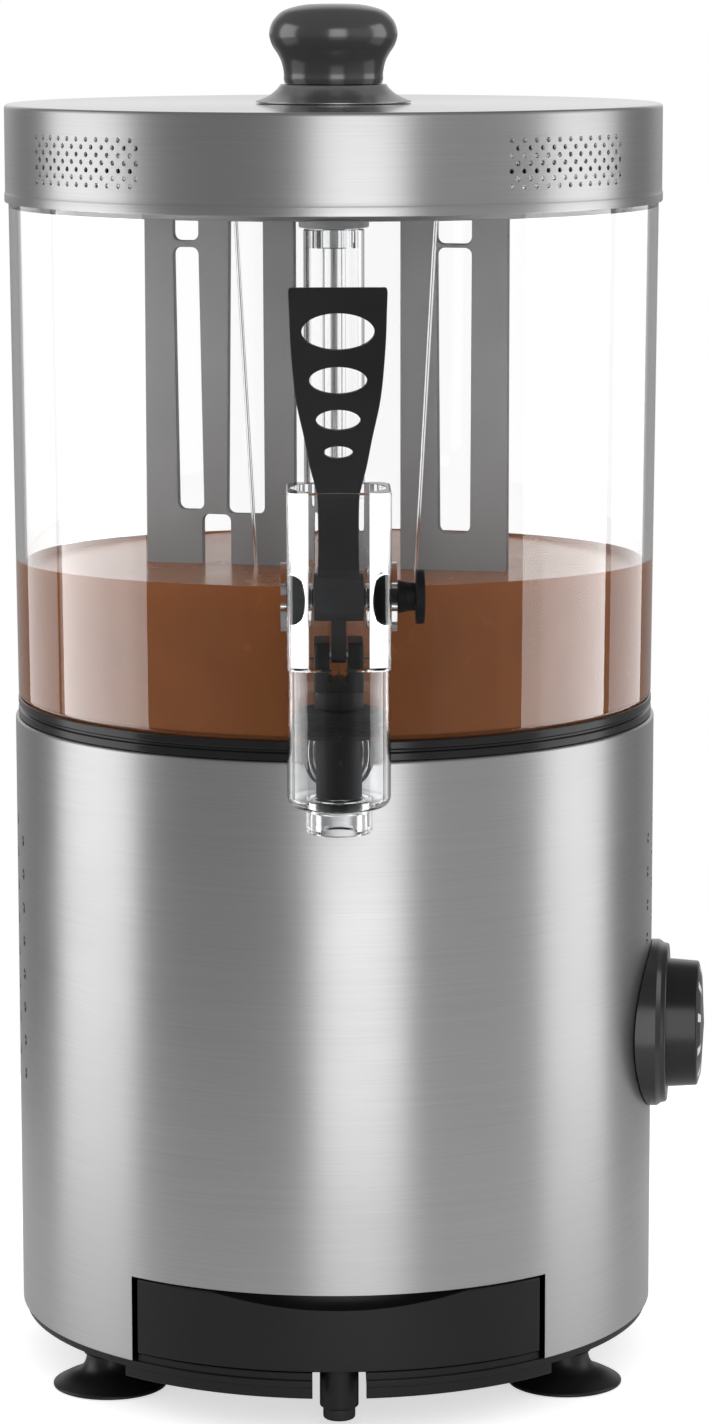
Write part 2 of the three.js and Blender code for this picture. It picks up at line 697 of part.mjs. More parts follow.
// The holes for the dial's shaft, the two switches and the inlet.
function shellCutouts() {
  const low = shellInner - OVERRUN;
  const high = SHELL_RADIUS + OVERRUN;
  const shaft = rod(DIAL_SHAFT_RADIUS + SLIDE_GAP, low, high, "x", PIN_SIDES, [0, DIAL_HEIGHT]);
  const switchHalf = SWITCH_HALF_WIDTH + SWITCH_FRAME_WALL + GAP;
  const switchRise = SWITCH_HALF_HEIGHT + SWITCH_FRAME_WALL + GAP;
  const switches = [-1, 1].map((side) =>
    solid(
      aimed(
        block([low, high], [-switchHalf, switchHalf], [SWITCH_HEIGHT - switchRise, SWITCH_HEIGHT + switchRise]),
        90 + side * SWITCH_SPREAD_DEG,
      ),
    ),
  );
  const inletHalf = INLET_HALF_WIDTH + GAP;
  const inletRise = INLET_HALF_HEIGHT + GAP;
  const inlet = block([low, high], [-inletHalf, inletHalf], [INLET_HEIGHT - inletRise, INLET_HEIGHT + inletRise]);
  return [solid(aimed(shaft, -DIAL_AZIMUTH_DEG)), ...switches, solid(aimed(inlet, 90))];
}

function baseGasket() {
  const inner = rimInner;
  const outer = SHELL_RADIUS - GASKET_INSET;
  return solid(ring(inner, outer, gasketBottom, gasketTop, ROUND_SIDES)).subtract(spigotSlot());
}

function supportPost(degrees) {
  const [x, y] = postSpot(degrees);
  const foot = POST_RADIUS + POST_SHOULDER;
  const profile = [
    [0, panTop + GAP],
    [foot, panTop + GAP],
    [foot, deckBottom - GAP],
    [POST_RADIUS, deckBottom - GAP],
    [POST_RADIUS, tankTop - TANK_WALL - GAP],
    [0, tankTop - TANK_WALL - GAP],
  ];
  return solid(turned(profile, PIN_SIDES).translate(x, y, 0));
}

function deckPlate() {
  const plate = solid(disc(deckRadius, deckBottom, DECK_TOP, INNER_SIDES));
  const postHoles = Object.values(POST_ANGLES).map((degrees) => {
    const [x, y] = postSpot(degrees);
    return solid(disc(POST_RADIUS + GAP, deckBottom - OVERRUN, DECK_TOP + OVERRUN, PIN_SIDES).translate(x, y, 0));
  });
  const motorHole = solid(
    disc(MOTOR_BOSS_RADIUS + GAP, deckBottom - OVERRUN, DECK_TOP + OVERRUN, SMALL_SIDES).translate(-motorPlace, 0, 0),
  );
  const thermostatInner = shellInner - SLIDE_GAP - GAP - THERMOSTAT_DEPTH - SLIDE_GAP;
  const side = THERMOSTAT_HALF + SLIDE_GAP;
  const thermostatNotch = solid(
    aimed(
      block([thermostatInner - OVERRUN, SHELL_RADIUS], [-side, side], [deckBottom - OVERRUN, DECK_TOP + OVERRUN]),
      -DIAL_AZIMUTH_DEG,
    ),
  );
  return plate.subtract(joined([...postHoles, motorHole, thermostatNotch]));
}

function bathTank() {
  const outer = tankRadius + TANK_WALL;
  const pipeTop = tankTop - GAP;
  const pipeBore = TANK_PIPE_RADIUS - TANK_PIPE_WALL;
  const body = solid(
    turned(
      [
        [pipeBore, tankFloor],
        [outer, tankFloor],
        [outer, tankTop - TANK_WALL],
        [tankFlangeRadius, tankTop - TANK_WALL],
        [tankFlangeRadius, tankTop],
        [tankRadius, tankTop],
        [tankRadius, tankFloor + TANK_WALL],
        [TANK_PIPE_RADIUS, tankFloor + TANK_WALL],
        [TANK_PIPE_RADIUS, pipeTop],
        [pipeBore, pipeTop],
      ],
      INNER_SIDES,
    ),
  );
  const legHoles = heaterLegSpots().map(([x, y]) =>
    solid(
      disc(HEATER_LEG_RADIUS + GAP, tankFloor - OVERRUN, tankFloor + TANK_WALL + GAP, PIN_SIDES).translate(x, y, 0),
    ),
  );
  return body.subtract(joined(legHoles));
}

// Where the heater's two legs go through the tank floor.
const heaterLegSpots = () =>
  [-1, 1].map((side) => [
    side * HEATER_LEG_HALF_GAP,
    Math.sqrt(heaterRadius ** 2 - HEATER_LEG_HALF_GAP ** 2),
  ]);

function heatingElement() {
  const height = tankFloor + TANK_WALL + HEATER_RAISE;
  const loop = new THREE.TorusGeometry(heaterRadius, HEATER_ROD_RADIUS, VENT_SIDES, INNER_SIDES).translate(0, 0, height);
  const legs = heaterLegSpots().map(([x, y]) =>
    solid(disc(HEATER_LEG_RADIUS, tankFloor - HEATER_LEG_DROP, height, PIN_SIDES).translate(x, y, 0)),
  );
  return joined([solid(loop), ...legs]);
}

const safetyCutout = () =>
  solid(
    disc(CUTOUT_RADIUS, tankFloor - GAP - CUTOUT_HEIGHT, tankFloor - GAP, SMALL_SIDES).translate(
      CUTOUT_PLACE * Math.cos(toRadians(CUTOUT_DEG)),
      CUTOUT_PLACE * Math.sin(toRadians(CUTOUT_DEG)),
      0,
    ),
  );

const thermostatBulb = () =>
  solid(rod(BULB_RADIUS, -BULB_LENGTH / 2, BULB_LENGTH / 2, "x", PIN_SIDES, [-BULB_PLACE, tankFloor - GAP - BULB_RADIUS]));

// Drive

// A gear about Z with straight-sided teeth; the first tooth points along +X, or half a tooth past it.
function gearOutline(teeth, pitchRadius, halfStep) {
  const tip = pitchRadius + ADDENDUM_SHARE * GEAR_MODULE;
  const root = pitchRadius - DEDENDUM_SHARE * GEAR_MODULE;
  const step = (2 * Math.PI) / teeth;
  const corners = [
    [root, -TOOTH_ROOT_SHARE],
    [tip, -TOOTH_TIP_SHARE],
    [tip, TOOTH_TIP_SHARE],
    [root, TOOTH_ROOT_SHARE],
  ];
  const outline = [];
  for (let tooth = 0; tooth < teeth; tooth++) {
    const middle = step * (tooth + (halfStep ? 0.5 : 0));
    for (const [radius, share] of corners) {
      const turn = middle + (share * step) / 2;
      outline.push([radius * Math.cos(turn), radius * Math.sin(turn)]);
    }
  }
  return outline;
}

function driveGear() {
  const wheel = solid(
    pushed(gearOutline(GEAR_TEETH, gearPitchRadius, false), gearHeight, gearHeight + GEAR_THICKNESS, "z"),
  );
  const hub = solid(
    disc(GEAR_HUB_RADIUS, gearHeight, gearHeight + GEAR_THICKNESS + GEAR_HUB_HEIGHT, SMALL_SIDES),
  );
  const bore = solid(disc(SHAFT_RADIUS + GAP, gearHeight - OVERRUN, DECK_TOP + GEARBOX_HEIGHT + OVERRUN, SMALL_SIDES));
  return wheel.add(hub).subtract(bore);
}

function motorPinion() {
  const middle = gearHeight + GEAR_THICKNESS / 2;
  const low = middle - PINION_LENGTH / 2;
  const high = middle + PINION_LENGTH / 2;
  const teeth = solid(pushed(gearOutline(PINION_TEETH, pinionPitchRadius, true), low, high, "z"));
  const shaft = solid(disc(MOTOR_SHAFT_RADIUS, deckBottom - MOTOR_SHAFT_DEPTH, high, PIN_SIDES));
  return teeth.add(shaft);
}

function motorBody() {
  const top = deckBottom - GAP;
  const can = solid(disc(MOTOR_RADIUS, top - MOTOR_HEIGHT, top, SMALL_SIDES));
  const boss = solid(disc(MOTOR_BOSS_RADIUS, top - OVERRUN, top + MOTOR_BOSS_HEIGHT, SMALL_SIDES));
  const bore = solid(
    disc(MOTOR_SHAFT_RADIUS + GAP, top - MOTOR_SHAFT_DEPTH - OVERRUN, top + MOTOR_BOSS_HEIGHT + OVERRUN, PIN_SIDES),
  );
  return can.add(boss).subtract(bore);
}

// Inside and outside of the gearbox, seen from above.
function gearboxBounds(grow) {
  const gearTip = gearPitchRadius + GEAR_MODULE + GEARBOX_CLEARANCE + grow;
  const pinionTip = motorPlace + pinionPitchRadius + GEAR_MODULE + GEARBOX_CLEARANCE + grow;
  return [[-pinionTip, gearTip], [-gearTip, gearTip]];
}

function gearboxHousing() {
  const low = DECK_TOP + GAP;
  const top = low + GEARBOX_HEIGHT;
  const outside = solid(block(...gearboxBounds(GEARBOX_WALL), [low, top]));
  const inside = solid(block(...gearboxBounds(0), [low + GEARBOX_FLOOR, top + OVERRUN]));
  const bushHole = solid(disc(BUSH_RADIUS + GAP, low - OVERRUN, top, SMALL_SIDES));
  const pinionHole = solid(disc(MOTOR_SHAFT_RADIUS + SLIDE_GAP, low - OVERRUN, top, PIN_SIDES).translate(-motorPlace, 0, 0));
  return outside.subtract(joined([inside, bushHole, pinionHole]));
}

function gearboxCover() {
  const low = DECK_TOP + GAP + GEARBOX_HEIGHT + GAP;
  const plate = solid(block(...gearboxBounds(GEARBOX_WALL), [low, low + GEARBOX_COVER]));
  return plate.subtract(solid(disc(BUSH_RADIUS + GAP, low - OVERRUN, low + GEARBOX_COVER + OVERRUN, SMALL_SIDES)));
}

const shaftBush = (low, height) =>
  solid(ring(SHAFT_RADIUS + GAP, BUSH_RADIUS, low, low + height, SMALL_SIDES));

function driveShaft() {
  const shaft = solid(disc(SHAFT_RADIUS, SHAFT_BOTTOM, columnTop, SMALL_SIDES));
  const half = SHAFT_SQUARE_HALF;
  const square = solid(
    block([-half, half], [-half, half], [columnTop - OVERRUN, columnTop + SHAFT_SQUARE_LENGTH]),
  );
  return shaft.add(square);
}

// Dial, switches and inlet

function dialBezel() {
  const outer = SHELL_RADIUS + BEZEL_PROUD;
  const profile = [
    [0, SHELL_RADIUS - BEZEL_SKIRT],
    [BEZEL_RADIUS, SHELL_RADIUS - BEZEL_SKIRT],
    [BEZEL_RADIUS, outer - BEZEL_CHAMFER],
    [BEZEL_RADIUS - BEZEL_CHAMFER, outer],
    [DIAL_RADIUS + SLIDE_GAP, outer],
    [DIAL_RADIUS + SLIDE_GAP, outer - BEZEL_RECESS],
    [0, outer - BEZEL_RECESS],
  ];
  const body = solid(turned(profile, KNOB_SIDES).rotateY(Math.PI / 2));
  const shell = solid(disc(SHELL_RADIUS + GAP, -BEZEL_RADIUS - OVERRUN, BEZEL_RADIUS + OVERRUN, ROUND_SIDES));
  const bore = solid(rod(DIAL_SHAFT_RADIUS + SLIDE_GAP, 0, outer + OVERRUN, "x", PIN_SIDES));
  return body.subtract(shell).subtract(bore);
}

function dialKnob() {
  const back = SHELL_RADIUS + BEZEL_PROUD - BEZEL_RECESS + SLIDE_GAP;
  const front = back + DIAL_LENGTH;
  const profile = [
    [0, back],
    [DIAL_RADIUS, back],
    [DIAL_TIP_RADIUS, front],
    [DIAL_TIP_RADIUS * Math.SQRT1_2, front + DIAL_DOME / 2],
    [0, front + DIAL_DOME],
  ];
  const knob = solid(turned(profile, KNOB_SIDES).rotateY(Math.PI / 2));
  const bore = rod(DIAL_SHAFT_RADIUS + GAP, back - OVERRUN, back + DIAL_SHAFT_GRIP + GAP, "x", PIN_SIDES);
  return knob.subtract(solid(bore));
}

function thermostatShaft() {
  const front = SHELL_RADIUS + BEZEL_PROUD - BEZEL_RECESS + SLIDE_GAP + DIAL_SHAFT_GRIP;
  return solid(rod(DIAL_SHAFT_RADIUS, shellInner - THERMOSTAT_DEPTH / 2, front, "x", PIN_SIDES));
}

function thermostatBody() {
  const half = THERMOSTAT_HALF;
  const front = Math.sqrt(shellInner ** 2 - half ** 2) - GAP;
  const box = solid(block([front - THERMOSTAT_DEPTH, front], [-half, half], [-half, half]));
  const bore = rod(
    DIAL_SHAFT_RADIUS + GAP,
    shellInner - THERMOSTAT_DEPTH / 2 - SLIDE_GAP,
    SHELL_RADIUS,
    "x",
    PIN_SIDES,
  );
  return box.subtract(solid(bore));
}

function switchFrame() {
  const face = SHELL_RADIUS + GAP;
  const half = SWITCH_HALF_WIDTH + SWITCH_FRAME_WALL;
  const rise = SWITCH_HALF_HEIGHT + SWITCH_FRAME_WALL;
  const body = solid(block([face - SWITCH_DEPTH, face + SWITCH_FLANGE_THICKNESS], [-half, half], [-rise, rise]));
  const wide = half + SWITCH_FLANGE - SWITCH_FRAME_WALL;
  const tall = rise + SWITCH_FLANGE - SWITCH_FRAME_WALL;
  const flange = solid(block([face, face + SWITCH_FLANGE_THICKNESS], [-wide, wide], [-tall, tall]));
  const hollow = solid(
    block(
      [face - SWITCH_DEPTH + SWITCH_FRAME_WALL, face + SWITCH_FLANGE_THICKNESS + OVERRUN],
      [-SWITCH_HALF_WIDTH, SWITCH_HALF_WIDTH],
      [-SWITCH_HALF_HEIGHT, SWITCH_HALF_HEIGHT],
    ),
  );
  return body.add(flange).subtract(hollow);
}

// The rocker about its own pivot, tilted to its off side.
function switchRocker() {
  const half = ROCKER_HALF_HEIGHT;
  const outline = [
    [-ROCKER_BACK, -half],
    [ROCKER_EDGE, -half],
    [ROCKER_MIDDLE, 0],
    [ROCKER_EDGE, half],
    [-ROCKER_BACK, half],
  ];
  const width = SWITCH_HALF_WIDTH - SLIDE_GAP;
  return solid(pushed(outline, -width, width, "y").rotateY(toRadians(ROCKER_TILT_DEG)));
}

function powerInlet() {
  const face = SHELL_RADIUS + GAP;
  const out = face + INLET_FLANGE_THICKNESS;
  const half = INLET_HALF_WIDTH;
  const rise = INLET_HALF_HEIGHT;
  const body = solid(block([face - INLET_DEPTH, out], [-half, half], [-rise, rise]));
  const flange = solid(
    block([face, out], [-half - INLET_FLANGE, half + INLET_FLANGE], [-rise - INLET_FLANGE, rise + INLET_FLANGE]),
  );
  const back = face - INLET_DEPTH + INLET_WALL;
  const hollow = solid(
    block([back, out + OVERRUN], [INLET_WALL - half, half - INLET_WALL], [INLET_WALL - rise, rise - INLET_WALL]),
  );
  const bladeTip = back + (out - back) * BLADE_SHARE;
  const blades = [-1, 0, 1].map((spot) =>
    solid(
      block(
        [back - INLET_WALL / 2, bladeTip],
        [spot * BLADE_SPACING - BLADE_HALF_WIDTH, spot * BLADE_SPACING + BLADE_HALF_WIDTH],
        [-BLADE_HALF_HEIGHT, BLADE_HALF_HEIGHT],
      ),
    ),
  );
  return joined([body.add(flange).subtract(hollow), ...blades]);
}

function terminalBlock() {
  const middle = SHELL_RADIUS - BLOCK_INSET;
  return solid(
    block(
      [-BLOCK_LENGTH / 2, BLOCK_LENGTH / 2],
      [middle - BLOCK_WIDTH / 2, middle + BLOCK_WIDTH / 2],
      [panTop + GAP, panTop + GAP + BLOCK_HEIGHT],
    ),
  );
}

// Drip tray

// A half-moon block: a disc cut by the tray's two sides and its back.
const halfMoon = (radius, halfWidth, back, low, high) =>
  solid(disc(radius, low, high, ROUND_SIDES)).intersect(
    solid(block([-halfWidth, halfWidth], [-SHELL_RADIUS - OVERRUN, -back], [low - OVERRUN, high + OVERRUN])),
  );

const panelOuter = SHELL_RADIUS + PANEL_PROUD;
const panelInner = panelOuter - PANEL_WALL;
const trayTop = TRAY_BOTTOM + TRAY_HEIGHT;
const trayFloorTop = TRAY_BOTTOM + TRAY_WALL;
const gridTop = trayTop - GRID_DEPTH;
const spoutPlace = -(SHELL_RADIUS - SPOUT_SETBACK);

function dripTray() {
  const outside = halfMoon(panelInner + GAP, trayHalf, TRAY_BACK, TRAY_BOTTOM, trayTop);
  const inside = halfMoon(
    panelInner - TRAY_WALL,
    trayHalf - TRAY_WALL,
    TRAY_BACK + TRAY_WALL,
    trayFloorTop,
    trayTop + OVERRUN,
  );
  const ledges = [-1, 1].map((side) => {
    const outer = side * (trayHalf - TRAY_WALL / 2);
    const inner = side * (trayHalf - TRAY_WALL - LEDGE_WIDTH);
    const front = -Math.sqrt((panelInner - TRAY_WALL) ** 2 - trayHalf ** 2);
    return solid(
      block(
        [Math.min(inner, outer), Math.max(inner, outer)],
        [front, -TRAY_BACK - TRAY_WALL / 2],
        [TRAY_BOTTOM + TRAY_WALL / 2, gridTop - GRID_THICKNESS - GAP],
      ),
    );
  });
  const panel = solid(ring(panelInner, panelOuter, TRAY_BOTTOM + GAP, PANEL_TOP, ROUND_SIDES)).intersect(
    solid(
      block(
        [-panelHalf, panelHalf],
        [-panelOuter - OVERRUN, 0],
        [TRAY_BOTTOM, PANEL_TOP + OVERRUN],
      ),
    ),
  );
  const spout = solid(
    disc(SPOUT_RADIUS, SPOUT_BOTTOM, trayFloorTop, SMALL_SIDES).translate(0, spoutPlace, 0),
  );
  const spoutBore = solid(
    disc(SPOUT_BORE_RADIUS, SPOUT_BOTTOM - OVERRUN, trayTop, SMALL_SIDES).translate(0, spoutPlace, 0),
  );
  return joined([outside.subtract(inside), ...ledges, panel, spout])
    .subtract(spoutBore)
    .subtract(fingerPull());
}

// The crescent that is scooped out of the panel's face along its top edge.
function fingerPull() {
  const halfWidth = panelHalf - PULL_END_INSET;
  const radius = (halfWidth ** 2 + PULL_DEPTH ** 2) / (2 * PULL_DEPTH);
  const centre = PANEL_TOP - PULL_DEPTH + radius;
  const spread = Math.asin(halfWidth / radius);
  const arc = Array.from({ length: PULL_POINTS + 1 }, (_, i) => {
    const turn = spread * ((2 * i) / PULL_POINTS - 1);
    return [radius * Math.sin(turn), centre - radius * Math.cos(turn)];
  });
  const outline = [
    ...arc,
    [halfWidth, PANEL_TOP + OVERRUN],
    [-halfWidth, PANEL_TOP + OVERRUN],
  ];
  const wedge = solid(pushed(outline, -panelOuter - OVERRUN, 0, "y"));
  return wedge.subtract(solid(disc(panelOuter - PULL_RECESS, 0, SHELL_TOP, ROUND_SIDES)));
}

function dripGrid() {
  const low = gridTop - GRID_THICKNESS;
  const halfWidth = trayHalf - TRAY_WALL - SLIDE_GAP;
  const radius = panelInner - TRAY_WALL - SLIDE_GAP;
  const back = TRAY_BACK + TRAY_WALL + SLIDE_GAP;
  const plate = halfMoon(radius, halfWidth, back, low, gridTop);
  const pitch = (2 * (halfWidth - GRID_MARGIN)) / GRID_SLOTS;
  const slotHalf = (pitch - GRID_BAR_WIDTH) / 2;
  const slots = Array.from({ length: GRID_SLOTS }, (_, i) => {
    const x = (i - (GRID_SLOTS - 1) / 2) * pitch;
    const reach = Math.sqrt(radius ** 2 - (Math.abs(x) + slotHalf) ** 2);
    return solid(
      block(
        [x - slotHalf, x + slotHalf],
        [GRID_MARGIN - reach, -back - GRID_MARGIN],
        [low - OVERRUN, gridTop + OVERRUN],
      ),
    );
  });
  return plate.subtract(joined(slots));
}

function trayDrainPlug() {
  const tipTop = SPOUT_BOTTOM - GAP;
  const profile = [
    [0, tipTop - PLUG_TIP_LENGTH],
    [PLUG_TIP_RADIUS, tipTop - PLUG_TIP_LENGTH],
    [PLUG_TIP_RADIUS, tipTop],
    [SPOUT_BORE_RADIUS - GAP, tipTop],
    [SPOUT_BORE_RADIUS - GAP, tipTop + PLUG_STEM_LENGTH],
    [0, tipTop + PLUG_STEM_LENGTH],
  ];
  return solid(turned(profile, SMALL_SIDES).translate(0, spoutPlace, 0));
}

// Bowl

function bowl() {
  const innerFoot = bowlFootRadius - BOWL_WALL;
  const innerTop = bowlTopRadius - BOWL_WALL;
  const innerSeat = bowlSeatRadius - BOWL_WALL;
  const rimWallInner = bowlRimRadius - BOWL_RIM_WALL;
  const body = solid(
    turned(
      [
        [COLUMN_BORE_RADIUS, bowlBottom],
        [bowlSeatRadius, bowlBottom],
        [bowlSeatRadius, shoulder],
        [bowlFootRadius, shoulder],
        [bowlTopRadius, bowlStep],
        [bowlRimRadius, bowlStep + BOWL_STEP],
        [bowlRimRadius, bowlTop],
        [rimWallInner, bowlTop],
        [rimWallInner, bowlStep + BOWL_STEP],
        [innerTop, bowlStep - BOWL_STEP],
        [innerFoot, shoulder + BOWL_WALL],
        [innerSeat, shoulder],
        [innerSeat, bowlFloor],
        [COLUMN_RADIUS, bowlFloor],
        [COLUMN_RADIUS, columnTop],
        [COLUMN_BORE_RADIUS, columnTop],
      ],
      ROUND_SIDES,
    ),
  );
  const back = -(bowlSeatRadius - BOWL_WALL / 2);
  const spigot = solid(
    rod(SPIGOT_RADIUS, -(SHELL_RADIUS + SPIGOT_REACH), back, "y", SMALL_SIDES, [0, spigotHeight]),
  );
  const bore = solid(
    rod(
      SPIGOT_BORE_RADIUS,
      -(SHELL_RADIUS + SPIGOT_REACH + OVERRUN),
      back + BOWL_WALL + OVERRUN,
      "y",
      SMALL_SIDES,
      [0, spigotHeight],
    ),
  );
  const inside = solid(
    turned(
      [
        [0, bowlFloor],
        [innerSeat, bowlFloor],
        [innerSeat, shoulder],
        [innerFoot, shoulder + BOWL_WALL],
        [innerTop, bowlStep - BOWL_STEP],
        [0, bowlStep - BOWL_STEP],
      ],
      ROUND_SIDES,
    ),
  );
  return body.add(spigot.subtract(inside)).subtract(bore);
}

// The drink outside the stirrer's path.
function drinkCharge() {
  const inner = Math.max(leftWingOuter, rightWingOuter) + STIRRER_PLATE / 2;
  const low = bowlFloor + GAP;
  const top = bowlFloor + DRINK_DEPTH;
  const seat = bowlSeatRadius - BOWL_WALL - GAP;
  const foot = bowlFootRadius - BOWL_WALL - GAP;
  const share = (top - shoulder) / BOWL_WALL_HEIGHT;
  return solid(
    turned(
      [
        [inner, low],
        [seat, low],
        [seat, shoulder + GAP],
        [foot, shoulder + BOWL_WALL + GAP],
        [foot + share * BOWL_FLARE, top],
        [inner, top],
      ],
      ROUND_SIDES,
    ),
  );
}

const columnBush = () =>
  solid(
    ring(
      SHAFT_RADIUS + GAP,
      COLUMN_BORE_RADIUS - GAP,
      columnTop - COLUMN_BUSH_HEIGHT - GAP,
      columnTop - GAP,
      SMALL_SIDES,
    ),
  );

// Lid

function lidCover() {
  const inner = lidRadius - LID_WALL;
  const body = solid(
    turned(
      [
        [KNOB_SCREW_RADIUS + GAP, lidTop - LID_WALL],
        [inner - LID_EDGE + LID_WALL, lidTop - LID_WALL],
        [inner, lidTop - LID_EDGE],
        [inner, lidBottom],
        [lidRadius + LID_HEM, lidBottom],
        [lidRadius + LID_HEM, lidBottom + LID_HEM_HEIGHT],
        [lidRadius, lidBottom + LID_HEM_HEIGHT + LID_HEM],
        [lidRadius, lidTop - LID_EDGE],
        [lidRadius - LID_EDGE, lidTop],
        [KNOB_SCREW_RADIUS + GAP, lidTop],
      ],
      ROUND_SIDES,
    ),
  );
  return body.subtract(joined(lidVents()));
}

// The two patches of small holes in the front of the lid's wall.
function lidVents() {
  const holes = [];
  const stepDegrees = THREE.MathUtils.radToDeg(LID_VENT_PITCH / lidRadius);
  const middle = lidTop - LID_VENT_CENTRE_DROP;
  for (const side of [-1, 1]) {
    for (let row = 0; row < LID_VENT_ROWS; row++) {
      const height = middle + ((row - (LID_VENT_ROWS - 1) / 2) * LID_VENT_PITCH) / 2;
      const shift = row % 2 ? 0.5 : 0;
      for (let column = 0; column < LID_VENT_COLUMNS; column++) {
        const along = (column - (LID_VENT_COLUMNS - 1) / 2 + shift - 1 / 4) * stepDegrees;
        const hole = rod(
          LID_VENT_RADIUS,
          lidRadius - LID_WALL - LID_EDGE,
          lidRadius + LID_EDGE,
          "x",
          FINE_VENT_SIDES,
          [0, height],
        );
        holes.push(solid(aimed(hole, -90 + side * LID_VENT_AZIMUTH_DEG + LID_VENT_TURN_DEG + along)));
      }
    }
  }
  return holes;
}

const lidSealRing = () =>
  solid(
    ring(
      lidRadius - LID_WALL - GAP - LID_SEAL_WIDTH,
      lidRadius - LID_WALL - GAP,
      bowlTop + GAP,
      bowlTop + GAP + LID_SEAL_HEIGHT,
      ROUND_SIDES,
    ),
  );

function lidCollar() {
  const low = lidTop + GAP;
  const hole = KNOB_SCREW_RADIUS + GAP;
  return solid(
    turned(
      [
        [hole, low],
        [COLLAR_RADIUS, low],
        [COLLAR_TOP_RADIUS, low + COLLAR_HEIGHT],
        [hole, low + COLLAR_HEIGHT],
      ],
      KNOB_SIDES,
    ),
  );
}

function lidKnob() {
  const low = lidTop + GAP + COLLAR_HEIGHT + GAP;
  const outside = KNOB_PROFILE_SHARES.map(([r, z]) => [r * KNOB_RADIUS, low + z * KNOB_HEIGHT]);
  const profile = [[0, low], ...outside, [0, low + KNOB_HEIGHT]];
  const hole = disc(KNOB_SCREW_RADIUS + GAP, low - OVERRUN, low + KNOB_SCREW_REACH + GAP, PIN_SIDES);
  return solid(turned(profile, KNOB_SIDES)).subtract(solid(hole));
}

function knobScrew() {
  const head = lidTop - LID_WALL - GAP;
  const tip = lidTop + GAP + COLLAR_HEIGHT + GAP + KNOB_SCREW_REACH;
  const profile = [
    [0, head - KNOB_SCREW_HEAD_HEIGHT],
    [KNOB_SCREW_HEAD_RADIUS, head - KNOB_SCREW_HEAD_HEIGHT],
    [KNOB_SCREW_HEAD_RADIUS, head],
    [KNOB_SCREW_RADIUS, head],
    [KNOB_SCREW_RADIUS, tip],
    [0, tip],
  ];
  return solid(turned(profile, PIN_SIDES));
}

// Stirrer

const stirrerHeight = stirrerTop - stirrerBottom;
const heightAt = (share) => stirrerBottom + share * stirrerHeight;

// A window through a wing, given by shares of the wing's width and height.
function wingWindow(across, [low, high]) {
  const [a, b] = across;
  return solid(
    block([Math.min(a, b), Math.max(a, b)], [-STIRRER_PLATE, STIRRER_PLATE], [heightAt(low), heightAt(high)]),
  );
}

function stirrerPaddleLeft() {
  const at = (share) => -(LEFT_WING_INNER + share * (leftWingOuter - LEFT_WING_INNER));
  const [, innerA, innerB, outerA, outerB] = LEFT_BAR_SHARES.map(at);
  const plate = block(
    [at(1), at(0)],
    [-STIRRER_PLATE / 2, STIRRER_PLATE / 2],
    [stirrerBottom, stirrerTop],
  );
  const windows = [
    wingWindow([innerA, innerB], LEFT_INNER_SLOT_SHARES),
    wingWindow([outerA, outerB], LEFT_SLOT_HEIGHTS_SHARES),
    wingWindow([outerA, outerB], TOP_WINDOW_SHARES),
    wingWindow(LOW_WINDOW_WIDTH_SHARES.map(at), LOW_WINDOW_SHARES),
  ];
  return solid(plate).subtract(joined(windows));
}

function stirrerPaddleRight() {
  const at = (share) => RIGHT_WING_INNER + share * (rightWingOuter - RIGHT_WING_INNER);
  const [, slotA, slotB] = RIGHT_BAR_SHARES.map(at);
  const plate = block(
    [at(0), at(1)],
    [-STIRRER_PLATE / 2, STIRRER_PLATE / 2],
    [stirrerBottom, stirrerTop],
  );
  const windows = [
    wingWindow([slotA, slotB], RIGHT_SLOT_HEIGHTS_SHARES),
    wingWindow([slotA, slotB], TOP_WINDOW_SHARES),
  ];
  return solid(plate).subtract(joined(windows));
}

function stirrerHub() {
  const low = stirrerTop + GAP;
  const high = low + HUB_THICKNESS;
  const socket = SHAFT_SQUARE_HALF + GAP;
  const plate = solid(disc(HUB_RADIUS, low, high, INNER_SIDES));
  const boss = solid(disc(HUB_BOSS_RADIUS, columnTop + SLIDE_GAP, high + HUB_BOSS_RISE, SMALL_SIDES));
  const arm = solid(block([-leftWingOuter, rightWingOuter], [-HUB_ARM_WIDTH / 2, HUB_ARM_WIDTH / 2], [low, high]));
  const bore = solid(
    block([-socket, socket], [-socket, socket], [columnTop, columnTop + SHAFT_SQUARE_LENGTH + SLIDE_GAP]),
  );
  return joined([plate, boss, arm]).subtract(bore);
}

// A leaning wire that ties the hub to the bottom ring.
function stirrerWire(side) {
  const top = new THREE.Vector3(side * WIRE_TOP_OUT, -WIRE_FORWARD, stirrerTop);
  const low = new THREE.Vector3(side * WIRE_BOTTOM_OUT, -WIRE_FORWARD, stirrerBottom);
  const path = new THREE.LineCurve3(low, top);
  const section = new THREE.Shape(oval(WIRE_RADIUS, WIRE_RADIUS, 8).map(([u, v]) => new THREE.Vector2(u, v)));
  return solid(new THREE.ExtrudeGeometry(section, { steps: 1, extrudePath: path }));
}

function stirrerBottomRing() {
  const top = stirrerBottom - GAP;
  return solid(ring(COLUMN_RADIUS + SLIDE_GAP, RING_RADIUS, top - RING_THICKNESS, top, INNER_SIDES));
}

// Tap, drawn about its own upright axis

// The square with rounded corners that the upper part of the tap body has.
function roundedSquare(half, corner) {
  const centre = half - corner;
  const points = [];
  for (let quarter = 0; quarter < 4; quarter++) {
    const [sx, sy] = [[1, 1], [-1, 1], [-1, -1], [1, -1]][quarter];
    for (let i = 0; i <= 4; i++) {
      const turn = (Math.PI / 2) * (quarter + i / 4);
      points.push([sx * centre + corner * Math.cos(turn), sy * centre + corner * Math.sin(turn)]);
    }
  }
  return points;
}

